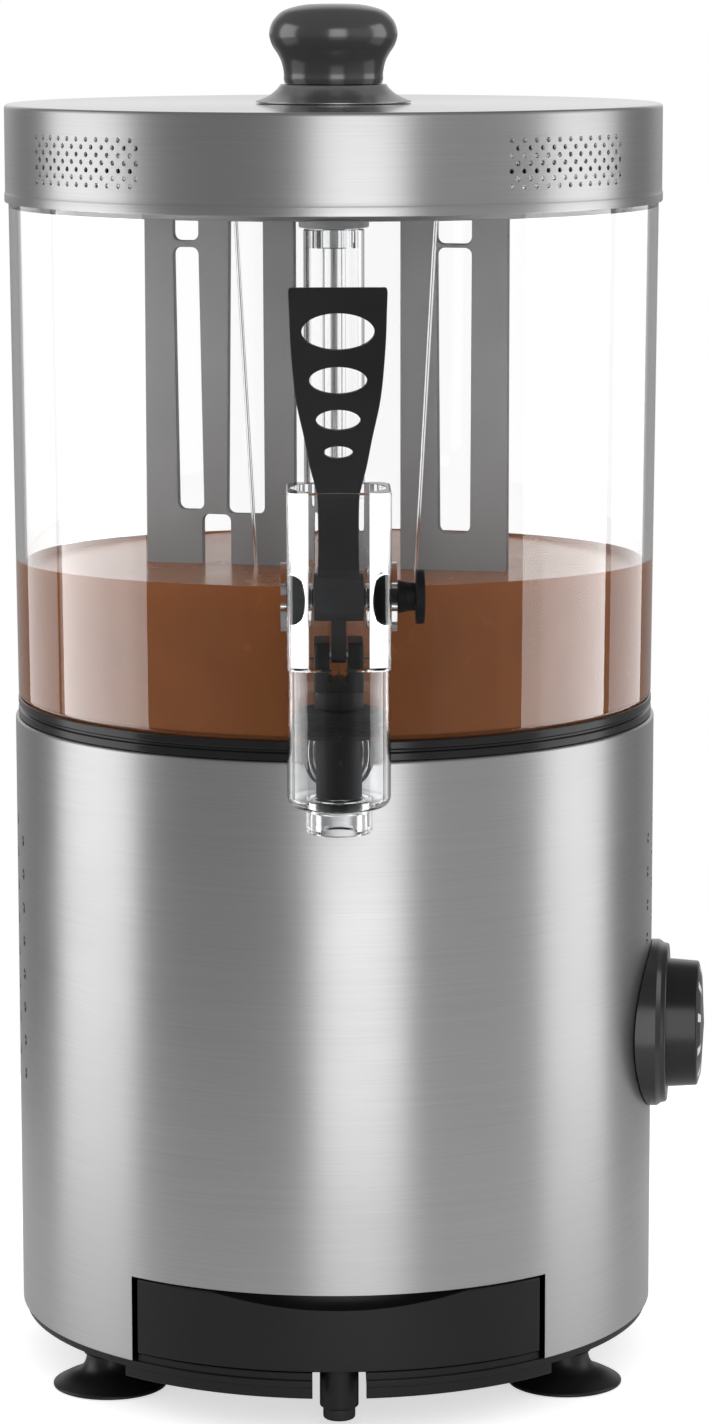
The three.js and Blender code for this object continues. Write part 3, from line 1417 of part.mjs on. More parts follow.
function tapBody() {
  const shoulderHeight = nozzleMouth + NOZZLE_LENGTH;
  const squareBottom = nozzleMouth + TAP_ROUND_HEIGHT;
  const round = solid(
    turned(
      [
        [0, nozzleMouth],
        [NOZZLE_RADIUS, nozzleMouth],
        [NOZZLE_RADIUS, shoulderHeight],
        [TAP_RADIUS - TAP_CORNER, shoulderHeight],
        [TAP_RADIUS - TAP_CORNER * (1 - Math.SQRT1_2), shoulderHeight + TAP_CORNER * (1 - Math.SQRT1_2)],
        [TAP_RADIUS, shoulderHeight + TAP_CORNER],
        [TAP_RADIUS, squareBottom],
        [0, squareBottom],
      ],
      INNER_SIDES,
    ),
  );
  const square = solid(pushed(roundedSquare(TAP_RADIUS, TAP_SQUARE_CORNER), squareBottom, tapTop, "z"));
  const earOut = TAP_RADIUS + TAP_EAR_PROUD;
  const ears = solid(rod(TAP_EAR_RADIUS, -earOut, earOut, "x", SMALL_SIDES, [0, pivotHeight]));
  const bossEnd = TAP_STAND_OFF - TAP_BOSS_GAP;
  const boss = solid(rod(TAP_BOSS_RADIUS, 0, bossEnd, "y", SMALL_SIDES, [0, spigotHeight]));
  const outside = joined([round, square, ears, boss]);

  const bore = solid(disc(TAP_BORE_RADIUS, tapFloorTop, tapTop + OVERRUN, INNER_SIDES));
  const valveBore = solid(disc(VALVE_BORE_RADIUS, nozzleMouth + NOZZLE_MOUTH_LENGTH, tapTop, SMALL_SIDES));
  const mouth = solid(disc(NOZZLE_MOUTH_RADIUS, nozzleMouth - OVERRUN, tapTop, SMALL_SIDES));
  const port = solid(rod(SPIGOT_BORE_RADIUS, 0, bossEnd, "y", SMALL_SIDES, [0, spigotHeight]));
  const socket = solid(
    rod(SPIGOT_RADIUS + GAP, bossEnd - TAP_BOSS_SOCKET, bossEnd + OVERRUN, "y", SMALL_SIDES, [0, spigotHeight]),
  );
  const window = solid(
    block(
      [-TAP_WINDOW_HALF, TAP_WINDOW_HALF],
      [-TAP_RADIUS - OVERRUN, 0],
      [nozzleMouth + TAP_WINDOW_BOTTOM_RISE, tapTop - TAP_BRIDGE],
    ),
  );
  const pinHole = solid(rod(PIVOT_RADIUS + GAP, -SHELL_RADIUS, SHELL_RADIUS, "x", PIN_SIDES, [0, pivotHeight]));
  return outside.subtract(joined([bore, valveBore, mouth, port, socket, window, pinHole]));
}

// The ring between the bowl's wall and the tap's rear boss.
function tapInletSeal() {
  const rear = TAP_STAND_OFF - TAP_BOSS_GAP + GAP;
  const front = TAP_STAND_OFF - GAP * 2;
  const outside = solid(rod(TAP_SEAL_RADIUS, rear, front, "y", SMALL_SIDES, [0, spigotHeight]));
  const hole = solid(rod(SPIGOT_RADIUS + GAP, rear - OVERRUN, front + OVERRUN, "y", SMALL_SIDES, [0, spigotHeight]));
  return outside.subtract(hole);
}

function pivotPin() {
  const neck = TAP_RADIUS + TAP_EAR_PROUD + GAP;
  const head = neck + PIVOT_NECK_LENGTH;
  const profile = [
    [0, -TAP_RADIUS],
    [PIVOT_RADIUS, -TAP_RADIUS],
    [PIVOT_RADIUS, neck],
    [PIVOT_NECK_RADIUS, neck],
    [PIVOT_NECK_TIP_RADIUS, head],
    [PIVOT_HEAD_RADIUS, head],
    [PIVOT_HEAD_RADIUS, head + PIVOT_HEAD_THICKNESS],
    [0, head + PIVOT_HEAD_THICKNESS],
  ];
  return solid(turned(profile, SMALL_SIDES).rotateY(Math.PI / 2).translate(0, 0, pivotHeight));
}

function pivotSpacer(side) {
  const inner = LEVER_HUB_HALF + SLIDE_GAP;
  const outer = Math.sqrt(TAP_BORE_RADIUS ** 2 - SPACER_RADIUS ** 2) - GAP;
  const [low, high] = side > 0 ? [inner, outer] : [-outer, -inner];
  const body = solid(rod(SPACER_RADIUS, low, high, "x", SMALL_SIDES, [0, pivotHeight]));
  return body.subtract(
    solid(rod(PIVOT_RADIUS + GAP, -TAP_RADIUS, TAP_RADIUS, "x", PIN_SIDES, [0, pivotHeight])),
  );
}

// The lever about its pivot: the blade is where its side and front outlines meet.
function tapLever() {
  const side = LEVER_SIDE_SHARES.map(([y, z]) => [y * LEVER_THICKNESS, z * LEVER_RISE]);
  const front = mirrored(LEVER_FRONT_SHARES.map(([x, z]) => [x * LEVER_HALF_WIDTH, z * LEVER_RISE]));
  const reach = LEVER_THICKNESS * 2;
  const blade = solid(pushed(side, -LEVER_HALF_WIDTH, LEVER_HALF_WIDTH, "x")).intersect(
    solid(pushed(front, -reach, reach, "y")),
  );
  const holes = LEVER_HOLE_SHARES.map(([centre, halfWidth, halfHeight]) =>
    solid(
      pushed(
        oval(halfWidth * LEVER_HALF_WIDTH, halfHeight * LEVER_RISE, SMALL_SIDES, [0, centre * LEVER_RISE]),
        -reach,
        reach,
        "y",
      ),
    ),
  );
  const hub = solid(rod(LEVER_HUB_RADIUS, -LEVER_HUB_HALF, LEVER_HUB_HALF, "x", SMALL_SIDES));
  const tongue = solid(
    block([-TONGUE_HALF_WIDTH, TONGUE_HALF_WIDTH], [-TONGUE_RADIUS, TONGUE_RADIUS], [-CAM_ARM, 0]),
  );
  const tip = solid(rod(TONGUE_RADIUS, -TONGUE_HALF_WIDTH, TONGUE_HALF_WIDTH, "x", PIN_SIDES, [0, -CAM_ARM]));
  const pivotBore = solid(rod(PIVOT_RADIUS + GAP, -TAP_RADIUS, TAP_RADIUS, "x", PIN_SIDES));
  const camBore = solid(rod(CAM_PIN_RADIUS + GAP, -TAP_RADIUS, TAP_RADIUS, "x", PIN_SIDES, [0, -CAM_ARM]));
  return joined([blade, hub, tongue, tip]).subtract(joined([...holes, pivotBore, camBore]));
}

const leverCamPin = () =>
  solid(rod(CAM_PIN_RADIUS, -CAM_PIN_HALF, CAM_PIN_HALF, "x", PIN_SIDES, [0, -CAM_ARM]));

// Levels of the piston, from the plug in the nozzle to the head under the lever
const plugBottom = tapFloorTop - PISTON_PLUG_ENTRY;
const sealBottom = plugBottom + PISTON_PLUG_LENGTH;
const sealTop = sealBottom + PISTON_SEAL_HEIGHT;
const headBottom = sealTop + PISTON_NECK_LENGTH;
const camHeight = pivotHeight - CAM_ARM;
const camSlotHalf = CAM_PIN_RADIUS + CAM_SLOT_GAP;
const headTop = camHeight + camSlotHalf + HEAD_TOP_COVER;

function tapPiston() {
  const core = solid(
    turned(
      [
        [0, plugBottom],
        [PISTON_PLUG_RADIUS, plugBottom],
        [PISTON_PLUG_RADIUS, sealBottom - GAP],
        [PISTON_CORE_RADIUS, sealBottom - GAP],
        [PISTON_CORE_RADIUS, sealTop + GAP],
        [PISTON_NECK_RADIUS, sealTop + GAP],
        [PISTON_NECK_RADIUS, headBottom + GAP],
        [0, headBottom + GAP],
      ],
      SMALL_SIDES,
    ),
  );
  const head = solid(
    block([-HEAD_HALF_WIDTH, HEAD_HALF_WIDTH], [-HEAD_FRONT, HEAD_REAR], [headBottom, headTop]),
  );
  const tongueHalf = TONGUE_HALF_WIDTH + SLIDE_GAP;
  const tongueSlot = solid(
    block([-tongueHalf, tongueHalf], [-HEAD_FRONT - OVERRUN, HEAD_REAR + OVERRUN], [headBottom + HEAD_FLOOR, headTop + OVERRUN]),
  );
  return core.add(head).subtract(tongueSlot).subtract(camSlot());
}

// The slanted slot that turns the lever's swing into lift. It follows the pin's path over the lever's range.
function camSlot() {
  const swing = toRadians(LEVER_SWING_DEG);
  const back = CAM_ARM * Math.sin(swing);
  const rise = CAM_ARM * (1 - Math.cos(swing)) - PISTON_LIFT;
  const start = rod(camSlotHalf, -SHELL_RADIUS, SHELL_RADIUS, "x", PIN_SIDES, [0, camHeight]);
  const end = rod(camSlotHalf, -SHELL_RADIUS, SHELL_RADIUS, "x", PIN_SIDES, [back, camHeight + rise]);
  const length = Math.hypot(back, rise);
  const [alongY, alongZ] = [back / length, rise / length];
  const [offY, offZ] = [-alongZ * camSlotHalf, alongY * camSlotHalf];
  const outline = [
    [-offY, camHeight - offZ],
    [back - offY, camHeight + rise - offZ],
    [back + offY, camHeight + rise + offZ],
    [offY, camHeight + offZ],
  ];
  return joined([solid(start), solid(end), solid(pushed(outline, -SHELL_RADIUS, SHELL_RADIUS, "x"))]);
}

function pistonSeal() {
  const corner = PISTON_SEAL_CORNER;
  const bore = PISTON_CORE_RADIUS + GAP;
  return solid(
    turned(
      [
        [bore, sealBottom],
        [PISTON_SEAL_RADIUS - corner, sealBottom],
        [PISTON_SEAL_RADIUS, sealBottom + corner],
        [PISTON_SEAL_RADIUS, sealTop - corner],
        [PISTON_SEAL_RADIUS - corner, sealTop],
        [bore, sealTop],
      ],
      SMALL_SIDES,
    ),
  );
}

// Assembly

function buildBase() {
  const base = new THREE.Group();
  place(base, "chassis_pan", chassisPan(), blackPlastic);
  const footNames = ["foot_front_left", "foot_front_right", "foot_rear_left", "foot_rear_right"];
  footSpots().forEach(([x, y], i) => {
    place(base, footNames[i], suctionFoot(), rubber).position.set(x, y, 0);
  });
  place(base, "outer_shell", outerShell(), steel);
  place(base, "base_gasket", baseGasket(), rubber);
  for (const [name, degrees] of Object.entries(POST_ANGLES)) {
    place(base, "support_post_" + name, supportPost(degrees), zinc);
  }
  place(base, "deck_plate", deckPlate(), zinc);
  place(base, "bath_tank", bathTank(), polishedSteel);
  place(base, "heating_element", heatingElement(), zinc);
  place(base, "safety_cutout", safetyCutout(), blackPlastic);
  place(base, "thermostat_bulb", thermostatBulb(), brass);
  place(base, "terminal_block", terminalBlock(), whitePlastic);
  place(base, "gearbox_housing", gearboxHousing(), zinc);
  place(base, "gearbox_cover", gearboxCover(), zinc);
  place(base, "lower_shaft_bush", shaftBush(DECK_TOP + GAP, GEARBOX_FLOOR), brass);
  place(base, "upper_shaft_bush", shaftBush(DECK_TOP + GEARBOX_HEIGHT + GAP * 2, GEARBOX_COVER), brass);
  place(base, "motor_body", motorBody(), zinc).position.set(-motorPlace, 0, 0);
  return base;
}

// Everything on the right side and at the back is drawn along +X and then turned to its place.
function buildControls() {
  const controls = new THREE.Group();
  const dial = new THREE.Group();
  dial.position.set(0, 0, DIAL_HEIGHT);
  dial.rotation.z = toRadians(-DIAL_AZIMUTH_DEG);
  place(dial, "dial_bezel", dialBezel(), blackPlastic);
  place(dial, "dial_knob", dialKnob(), blackPlastic);
  place(dial, "thermostat_shaft", thermostatShaft(), polishedSteel);
  place(dial, "thermostat_body", thermostatBody(), zinc);
  controls.add(dial);
  for (const [name, side] of [["heater", 1], ["mixer", -1]]) {
    const group = new THREE.Group();
    group.position.set(0, 0, SWITCH_HEIGHT);
    group.rotation.z = toRadians(90 + side * SWITCH_SPREAD_DEG);
    place(group, name + "_switch_frame", switchFrame(), blackPlastic);
    place(group, name + "_switch_rocker", switchRocker(), blackPlastic).position.set(SHELL_RADIUS, 0, 0);
    controls.add(group);
  }
  const back = new THREE.Group();
  back.position.set(0, 0, INLET_HEIGHT);
  back.rotation.z = Math.PI / 2;
  place(back, "power_inlet", powerInlet(), blackPlastic);
  controls.add(back);
  return controls;
}

function buildDrive() {
  const drive = new THREE.Group();
  place(drive, "drive_shaft", driveShaft(), polishedSteel).rotation.z = toRadians(-STIRRER_TURN_DEG);
  place(drive, "drive_gear", driveGear(), whitePlastic);
  place(drive, "motor_pinion", motorPinion(), brass).position.set(-motorPlace, 0, 0);
  return drive;
}

function buildTray() {
  const tray = new THREE.Group();
  place(tray, "drip_tray", dripTray(), blackPlastic);
  place(tray, "drip_grid", dripGrid(), blackPlastic);
  place(tray, "tray_drain_plug", trayDrainPlug(), rubber);
  return tray;
}

function buildBowl() {
  const group = new THREE.Group();
  place(group, "bowl", bowl(), clear);
  place(group, "drink_charge", drinkCharge(), cocoa);
  place(group, "column_bush", columnBush(), whitePlastic);
  return group;
}

function buildTap() {
  const tap = new THREE.Group();
  tap.position.set(0, -tapPlace, 0);
  place(tap, "tap_body", tapBody(), clear);
  place(tap, "tap_inlet_seal", tapInletSeal(), rubber);
  place(tap, "pivot_pin", pivotPin(), blackPlastic);
  place(tap, "pivot_spacer_left", pivotSpacer(-1), clear);
  place(tap, "pivot_spacer_right", pivotSpacer(1), clear);
  place(tap, "tap_piston", tapPiston(), blackPlastic);
  place(tap, "piston_seal", pistonSeal(), rubber);
  const lever = new THREE.Group();
  lever.position.set(0, 0, pivotHeight);
  place(lever, "tap_lever", tapLever(), blackPlastic);
  place(lever, "lever_cam_pin", leverCamPin(), polishedSteel);
  tap.add(lever);
  return tap;
}

function buildLid() {
  const lid = new THREE.Group();
  place(lid, "lid_cover", lidCover(), steel);
  place(lid, "lid_seal_ring", lidSealRing(), rubber);
  place(lid, "lid_collar", lidCollar(), zinc);
  place(lid, "lid_knob", lidKnob(), blackPlastic);
  place(lid, "knob_screw", knobScrew(), polishedSteel);
  return lid;
}

function buildStirrer() {
  const stirrer = new THREE.Group();
  stirrer.rotation.z = toRadians(-STIRRER_TURN_DEG);
  place(stirrer, "stirrer_hub", stirrerHub(), greyPlastic);
  place(stirrer, "stirrer_paddle_left", stirrerPaddleLeft(), greyPlastic);
  place(stirrer, "stirrer_paddle_right", stirrerPaddleRight(), greyPlastic);
  place(stirrer, "stirrer_bottom_ring", stirrerBottomRing(), greyPlastic);
  place(stirrer, "stirrer_wire_left", stirrerWire(-1), polishedSteel);
  place(stirrer, "stirrer_wire_right", stirrerWire(1), polishedSteel);
  return stirrer;
}

machine.add(
  buildBase(),
  buildControls(),
  buildDrive(),
  buildTray(),
  buildBowl(),
  buildTap(),
  buildLid(),
  buildStirrer(),
);

export default machine;
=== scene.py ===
import math

import bpy
from mathutils import Matrix, Vector

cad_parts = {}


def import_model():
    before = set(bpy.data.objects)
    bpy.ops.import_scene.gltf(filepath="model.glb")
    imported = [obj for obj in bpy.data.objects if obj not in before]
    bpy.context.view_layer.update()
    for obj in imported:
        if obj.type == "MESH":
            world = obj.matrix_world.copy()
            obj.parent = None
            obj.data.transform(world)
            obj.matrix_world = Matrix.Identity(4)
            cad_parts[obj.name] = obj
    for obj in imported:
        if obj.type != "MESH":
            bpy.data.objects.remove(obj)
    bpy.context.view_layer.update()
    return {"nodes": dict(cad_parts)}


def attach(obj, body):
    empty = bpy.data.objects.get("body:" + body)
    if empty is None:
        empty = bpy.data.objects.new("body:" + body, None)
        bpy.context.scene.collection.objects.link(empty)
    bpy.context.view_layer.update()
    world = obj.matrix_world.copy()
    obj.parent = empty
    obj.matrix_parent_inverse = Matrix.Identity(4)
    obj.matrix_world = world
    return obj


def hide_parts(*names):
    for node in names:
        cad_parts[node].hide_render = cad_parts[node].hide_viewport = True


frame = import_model()

MM = 0.001
# A radius in millimetres that stands for a point on the axis
TINY = 0.0002
# Points nearer than this, in metres, are merged while shaping and in a finished piece
WELD = 0.000004
FINE_WELD = 0.000001

# Heights, depths and turns that several pieces share
TAP_DEPTH = -132
PIVOT_HEIGHT = 283.7
PIVOT = (0, PIVOT_HEIGHT)
SPIGOT_HEIGHT = 231.5
SPIGOT = (0, SPIGOT_HEIGHT)
SPOUT_DEPTH = -99
DIAL_HEIGHT = 118.2
DIAL_TURN = -6.5
STIRRER_TURN = (0, 0, -14)
SWITCH_HEIGHT = 92
# Turns that lay a piece made round Z along X or Y
ALONG_X = (0, 90, 0)
ALONG_Y = (-90, 0, 0)
# A cutter's reach from before the drum to its middle
FRONT = (-114, 0)
# How far the cam pin sits below the lever's pivot
CAM_REACH = 18
# How much wider the bowl gets on its way up, where its inner wall starts and how high that rises
FLARE = 1.3
INNER_FOOT = 236.6
INNER_RISE = 163.5
FOOT_PLACES = {
    "foot_front_left": (-78, -46.87),
    "foot_front_right": (78, -46.87),
    "foot_rear_left": (-78, 46.87),
    "foot_rear_right": (78, 46.87),
}


# Shaping tools


def clear():
    """Leave edit mode and select nothing."""
    active = bpy.context.view_layer.objects.active
    if active and active.mode == "EDIT":
        bpy.ops.object.mode_set(mode="OBJECT")
    bpy.ops.object.select_all(action="DESELECT")


def pick(piece):
    """Select one piece alone and make it active."""
    clear()
    piece.select_set(True)
    bpy.context.view_layer.objects.active = piece


def settle(piece):
    """Put a piece's place, turn and scale into its mesh."""
    pick(piece)
    bpy.ops.object.transform_apply(location=True, rotation=True, scale=True)
    return piece


def move(piece, x=0, y=0, z=0, turn=(0, 0, 0)):
    """Turn a piece about the origin, then shift it."""
    piece.rotation_euler = [math.radians(angle) for angle in turn]
    piece.location = (x * MM, y * MM, z * MM)
    return settle(piece)


def join(pieces):
    """Put several pieces into one object."""
    pick(pieces[0])
    for piece in pieces:
        piece.select_set(True)
    bpy.ops.object.join()
    return pieces[0]


def edit():
    """Go into edit mode with the whole active piece selected."""
    bpy.ops.object.mode_set(mode="EDIT")
    bpy.ops.mesh.select_all(action="SELECT")


def spot(u, v, w, along):
    """A point drawn as (u, v) on a plane, w along the axis that the plane faces."""
    point = {"X": (w, u, v), "Y": (u, w, v), "Z": (u, v, w)}[along]
    return [value * MM for value in point]


def tidy_mesh(piece, weld=WELD):
    """Merge doubles and turn the faces outwards."""
    pick(piece)
    edit()
    bpy.ops.mesh.remove_doubles(threshold=weld)
    bpy.ops.mesh.normals_make_consistent(inside=False)
    bpy.ops.object.mode_set(mode="OBJECT")
    return piece


def lathe(profile, sides=48, closed=False):
    """Turn a profile of (radius, height) about Z: a circle, extruded and resized from point to point."""
    points = [(max(radius, TINY), height) for radius, height in profile]
    if closed:
        points.append(points[0])
    radius, height = points[0]
    clear()
    bpy.ops.mesh.primitive_circle_add(vertices=sides, radius=radius * MM, location=(0, 0, height * MM))
    piece = settle(bpy.context.object)
    edit()
    for wider, higher in points[1:]:
        rise = (0, 0, (higher - height) * MM)
        bpy.ops.mesh.extrude_region_move(TRANSFORM_OT_translate={"value": rise})
        grow = wider / radius
        bpy.ops.transform.resize(value=(grow, grow, 1), center_override=(0, 0, higher * MM))
        radius, height = wider, higher
    return tidy_mesh(piece)


def prism(outline, low, high, along="Z"):
    """Push an outline from low to high. Along X it is drawn in Y and Z, along Y in X and Z."""
    clear()
    bpy.ops.mesh.primitive_circle_add(vertices=len(outline), radius=1, fill_type="NGON")
    piece = bpy.context.object
    for vertex, (u, v) in zip(piece.data.vertices, outline):
        vertex.co = spot(u, v, low, along)
    edit()
    push = spot(0, 0, high - low, along)
    bpy.ops.mesh.extrude_region_move(TRANSFORM_OT_translate={"value": push})
    return tidy_mesh(piece)


def box(x, y, z):
    """A block between pairs of X, Y and Z."""
    clear()
    centre = [(low + high) / 2 * MM for low, high in (x, y, z)]
    size = [(high - low) * MM for low, high in (x, y, z)]
    bpy.ops.mesh.primitive_cube_add(size=1, location=centre, scale=size)
    return settle(bpy.context.object)


def oval(half_width, half_height, sides, centre=(0, 0)):
    """The points of an ellipse."""
    x, y = centre
    turns = [2 * math.pi * i / sides for i in range(sides)]
    return [(x + half_width * math.cos(turn), y + half_height * math.sin(turn)) for turn in turns]


def arc(x, y, radius, first, sweep, steps):
    """Points on a circle round (x, y), from a first angle through a sweep, in radians."""
    turns = [first + sweep * step / steps for step in range(steps + 1)]
    return [(x + radius * math.cos(turn), y + radius * math.sin(turn)) for turn in turns]


def rod(radius, low, high, along="Z", sides=32, centre=(0, 0)):
    """A round bar along an axis."""
    return prism(oval(radius, radius, sides, centre), low, high, along)


def alter(piece, kind, **settings):
    """Add a modifier with its settings and apply it."""
    pick(piece)
    change = piece.modifiers.new("change", kind)
    for name, value in settings.items():
        setattr(change, name, value)
    bpy.ops.object.modifier_apply(modifier=change.name)


def cut(piece, other, how="DIFFERENCE"):
    """Cut one piece with another, join them or keep what they share. The other one is used up."""
    alter(piece, "BOOLEAN", operation=how, solver="EXACT", object=other)
    bpy.data.objects.remove(other)
    return piece


def soften(piece, width, angle=30, segments=2):
    """Round the edges that are sharper than an angle."""
    limit = {"limit_method": "ANGLE", "angle_limit": math.radians(angle)}
    alter(piece, "BEVEL", width=width * MM, segments=segments, **limit)


def rounded(corners, closed=False, steps=4):
    """A profile whose corners (r, z, fillet) are replaced by arcs."""
    points = []
    ends = () if closed else (0, len(corners) - 1)
    spots = [Vector(corner[:2]) for corner in corners]
    for i, here in enumerate(spots):
        fillet = corners[i][2] if len(corners[i]) > 2 else 0
        if fillet == 0 or i in ends:
            points.append(tuple(here))
            continue
        back = (spots[i - 1] - here).normalized()
        ahead = (spots[(i + 1) % len(spots)] - here).normalized()
        half = back.angle(ahead) / 2
        centre = here + (back + ahead).normalized() * (fillet / math.sin(half))
        reach = fillet / math.tan(half)
        start = here + back * reach - centre
        end = here + ahead * reach - centre
        first = math.atan2(start.y, start.x)
        sweep = math.atan2(end.y, end.x) - first
        sweep = (sweep + math.pi) % (2 * math.pi) - math.pi
        points += arc(centre.x, centre.y, fillet, first, sweep, steps)
    return points


def flowing(points, steps=4):
    """A smooth line through points."""
    line = []
    for i in range(len(points) - 1):
        a = Vector(points[max(i - 1, 0)])
        b = Vector(points[i])
        c = Vector(points[i + 1])
        d = Vector(points[min(i + 2, len(points) - 1)])
        for step in range(steps):
            t = step / steps
            square = (a * 2 - b * 5 + c * 4 - d) * t**2
            cube = (b * 3 - a - c * 3 + d) * t**3
            line.append(tuple((b * 2 + (c - a) * t + square + cube) / 2))
    line.append(tuple(points[-1]))
    return line


def rounded_box(half_width, half_height, corner, centre=(0, 0), steps=5):
    """A rectangle with round corners."""
    points = []
    right_angle = math.pi / 2
    for quarter, (side, end) in enumerate([(1, 1), (-1, 1), (-1, -1), (1, -1)]):
        x = centre[0] + side * (half_width - corner)
        y = centre[1] + end * (half_height - corner)
        points += arc(x, y, corner, right_angle * quarter, right_angle, steps)
    return points


def fit(piece, name, material, body, node, smooth=35):
    """Finish a piece: its name, smoothness, material, the body it rides on and the node it stands for."""
    tidy_mesh(piece, FINE_WELD)
    piece.name = name
    piece.data.name = name
    bpy.ops.object.shade_smooth_by_angle(angle=math.radians(smooth))
    alter(piece, "WEIGHTED_NORMAL", keep_sharp=True)
    piece.data.materials.clear()
    piece.data.materials.append(material)
    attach(piece, body)
    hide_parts(node)


# Materials

# Nearly all of a noise lies between these numbers
NOISE = (0.3, 0.7)
PLASTIC_IOR = 1.5


def linear(colour):
    """An sRGB hex colour as the linear values that the shaders take."""
    parts = [int(colour[i : i + 2], 16) / 255 for i in (1, 3, 5)]
    return [p / 12.92 if p <= 0.04045 else ((p + 0.055) / 1.055) ** 2.4 for p in parts] + [1]


def feed(node, inputs):
    """Give inputs, named or in a row, a value, or link them to a socket or a node's first output."""
    for name, value in inputs.items() if isinstance(inputs, dict) else enumerate(inputs):
        if isinstance(value, bpy.types.Node):
            value = value.outputs[0]
        if isinstance(value, bpy.types.NodeSocket):
            node.id_data.links.new(value, node.inputs[name])
        else:
            node.inputs[name].default_value = value


def add(tree, kind, inputs=(), **settings):
    """Add a node, set its options and feed its inputs."""
    node = tree.nodes.new("ShaderNode" + kind)
    for name, value in settings.items():
        setattr(node, name, value)
    feed(node, inputs)
    return node


def made(name, look, *details):
    """A material whose one Principled shader gets the inputs that a look gives."""
    material = bpy.data.materials.new(name)
    material.use_nodes = True
    tree = material.node_tree
    feed(tree.nodes["Principled BSDF"], look(tree, *details))
    return material


def grain(tree, size_x, size_y, size_z, detail=3.0):
    """Noise on the piece itself whose patches have a size in millimetres along X, Y and Z."""
    place = add(tree, "TexCoord")
    scale = [1 / (size * MM) for size in (size_x, size_y, size_z)]
    mapped = add(tree, "Mapping", {"Vector": place.outputs["Object"], "Scale": scale})
    return add(tree, "TexNoise", {"Vector": mapped, "Scale": 1.0, "Detail": detail})


def mottled(tree, noise, dark, light, low, high, cloud=None):
    """Two close tones spread by a noise, and a range of roughness spread by it or by a cloud."""
    tones = add(tree, "ValToRGB", {"Fac": noise})
    for element, position, colour in zip(tones.color_ramp.elements, NOISE, (dark, light)):
        element.position = position
        element.color = linear(colour)
    rough = add(tree, "MapRange", (noise if cloud is None else cloud, *NOISE, low, high))
    return {"Base Color": tones, "Roughness": rough}


def brushed_stainless(tree, polish=0.0):
    """Sheet with fine lines round the body, on which lamps draw tall bands. Flat tops can be polished."""
    lines = grain(tree, 40, 40, 0.35, 4.0)
    cloud = grain(tree, 60, 60, 45)
    shape = add(tree, "NewGeometry")
    facing = add(tree, "SeparateXYZ", {"Vector": shape.outputs["Normal"]})
    keep = add(tree, "MapRange", (facing.outputs["Z"], 0.5, 0.98, 1.0, 1.0 - polish))
    looks = mottled(tree, lines, "#bcbcbd", "#c4c4c4", 0.36, 0.41, cloud)
    return {
        **looks,
        "Roughness": add(tree, "Math", (looks["Roughness"], keep), operation="MULTIPLY"),
        "Normal": add(tree, "Bump", {"Height": lines, "Distance": 0.0015 * MM}),
        "Metallic": 1.0,
        "Anisotropic": 0.75,
        "Anisotropic Rotation": 0.25,
        "Tangent": add(tree, "Tangent", direction_type="RADIAL", axis="Z"),
    }


def metal(tree, size, dark, light, low, high, detail=3.0, depth=0):
    """Bare metal: two close tones in patches of a size, a range of gloss and a depth of relief."""
    patches = grain(tree, *size, detail)
    looks = {**mottled(tree, patches, dark, light, low, high), "Metallic": 1.0}
    if depth:
        looks["Normal"] = add(tree, "Bump", {"Height": patches, "Distance": depth * MM})
    return looks


def plastic(tree, dark, light, low, high, size, depth, shine=0.5):
    """Moulded plastic: two close tones, a range of gloss, the mould's texture and how much it mirrors."""
    fine = grain(tree, size, size, size, 2.0)
    broad = grain(tree, 30, 30, 30)
    return {
        **mottled(tree, broad, dark, light, low, high),
        "Normal": add(tree, "Bump", {"Height": fine, "Distance": depth * MM}),
        "IOR": PLASTIC_IOR,
        "Specular IOR Level": shine,
    }


def plate_with_painted_edge_shade(tree, dark, light, facing):
    """Satin sheet plastic with painted shade on its side faces: the colour darkens where the normal turns
    away from the direction its faces look along.
    """
    broad = grain(tree, 30, 30, 30)
    place = add(tree, "TexCoord")
    along = add(tree, "VectorMath", (place.outputs["Normal"], facing), operation="DOT_PRODUCT")
    size = add(tree, "Math", [along.outputs["Value"]], operation="ABSOLUTE")
    # Painted shade: faces whose normal turns away from the facing direction get their colour scaled down to
    # 0.22.
    keep = add(tree, "MapRange", (size, 0.45, 0.92, 0.22, 1.0))
    looks = mottled(tree, broad, dark, light, 0.4, 0.5)
    shaded = add(tree, "VectorMath", {0: looks["Base Color"], "Scale": keep}, operation="SCALE")
    return {**looks, "Base Color": shaded, "IOR": PLASTIC_IOR, "Specular IOR Level": 0.3}


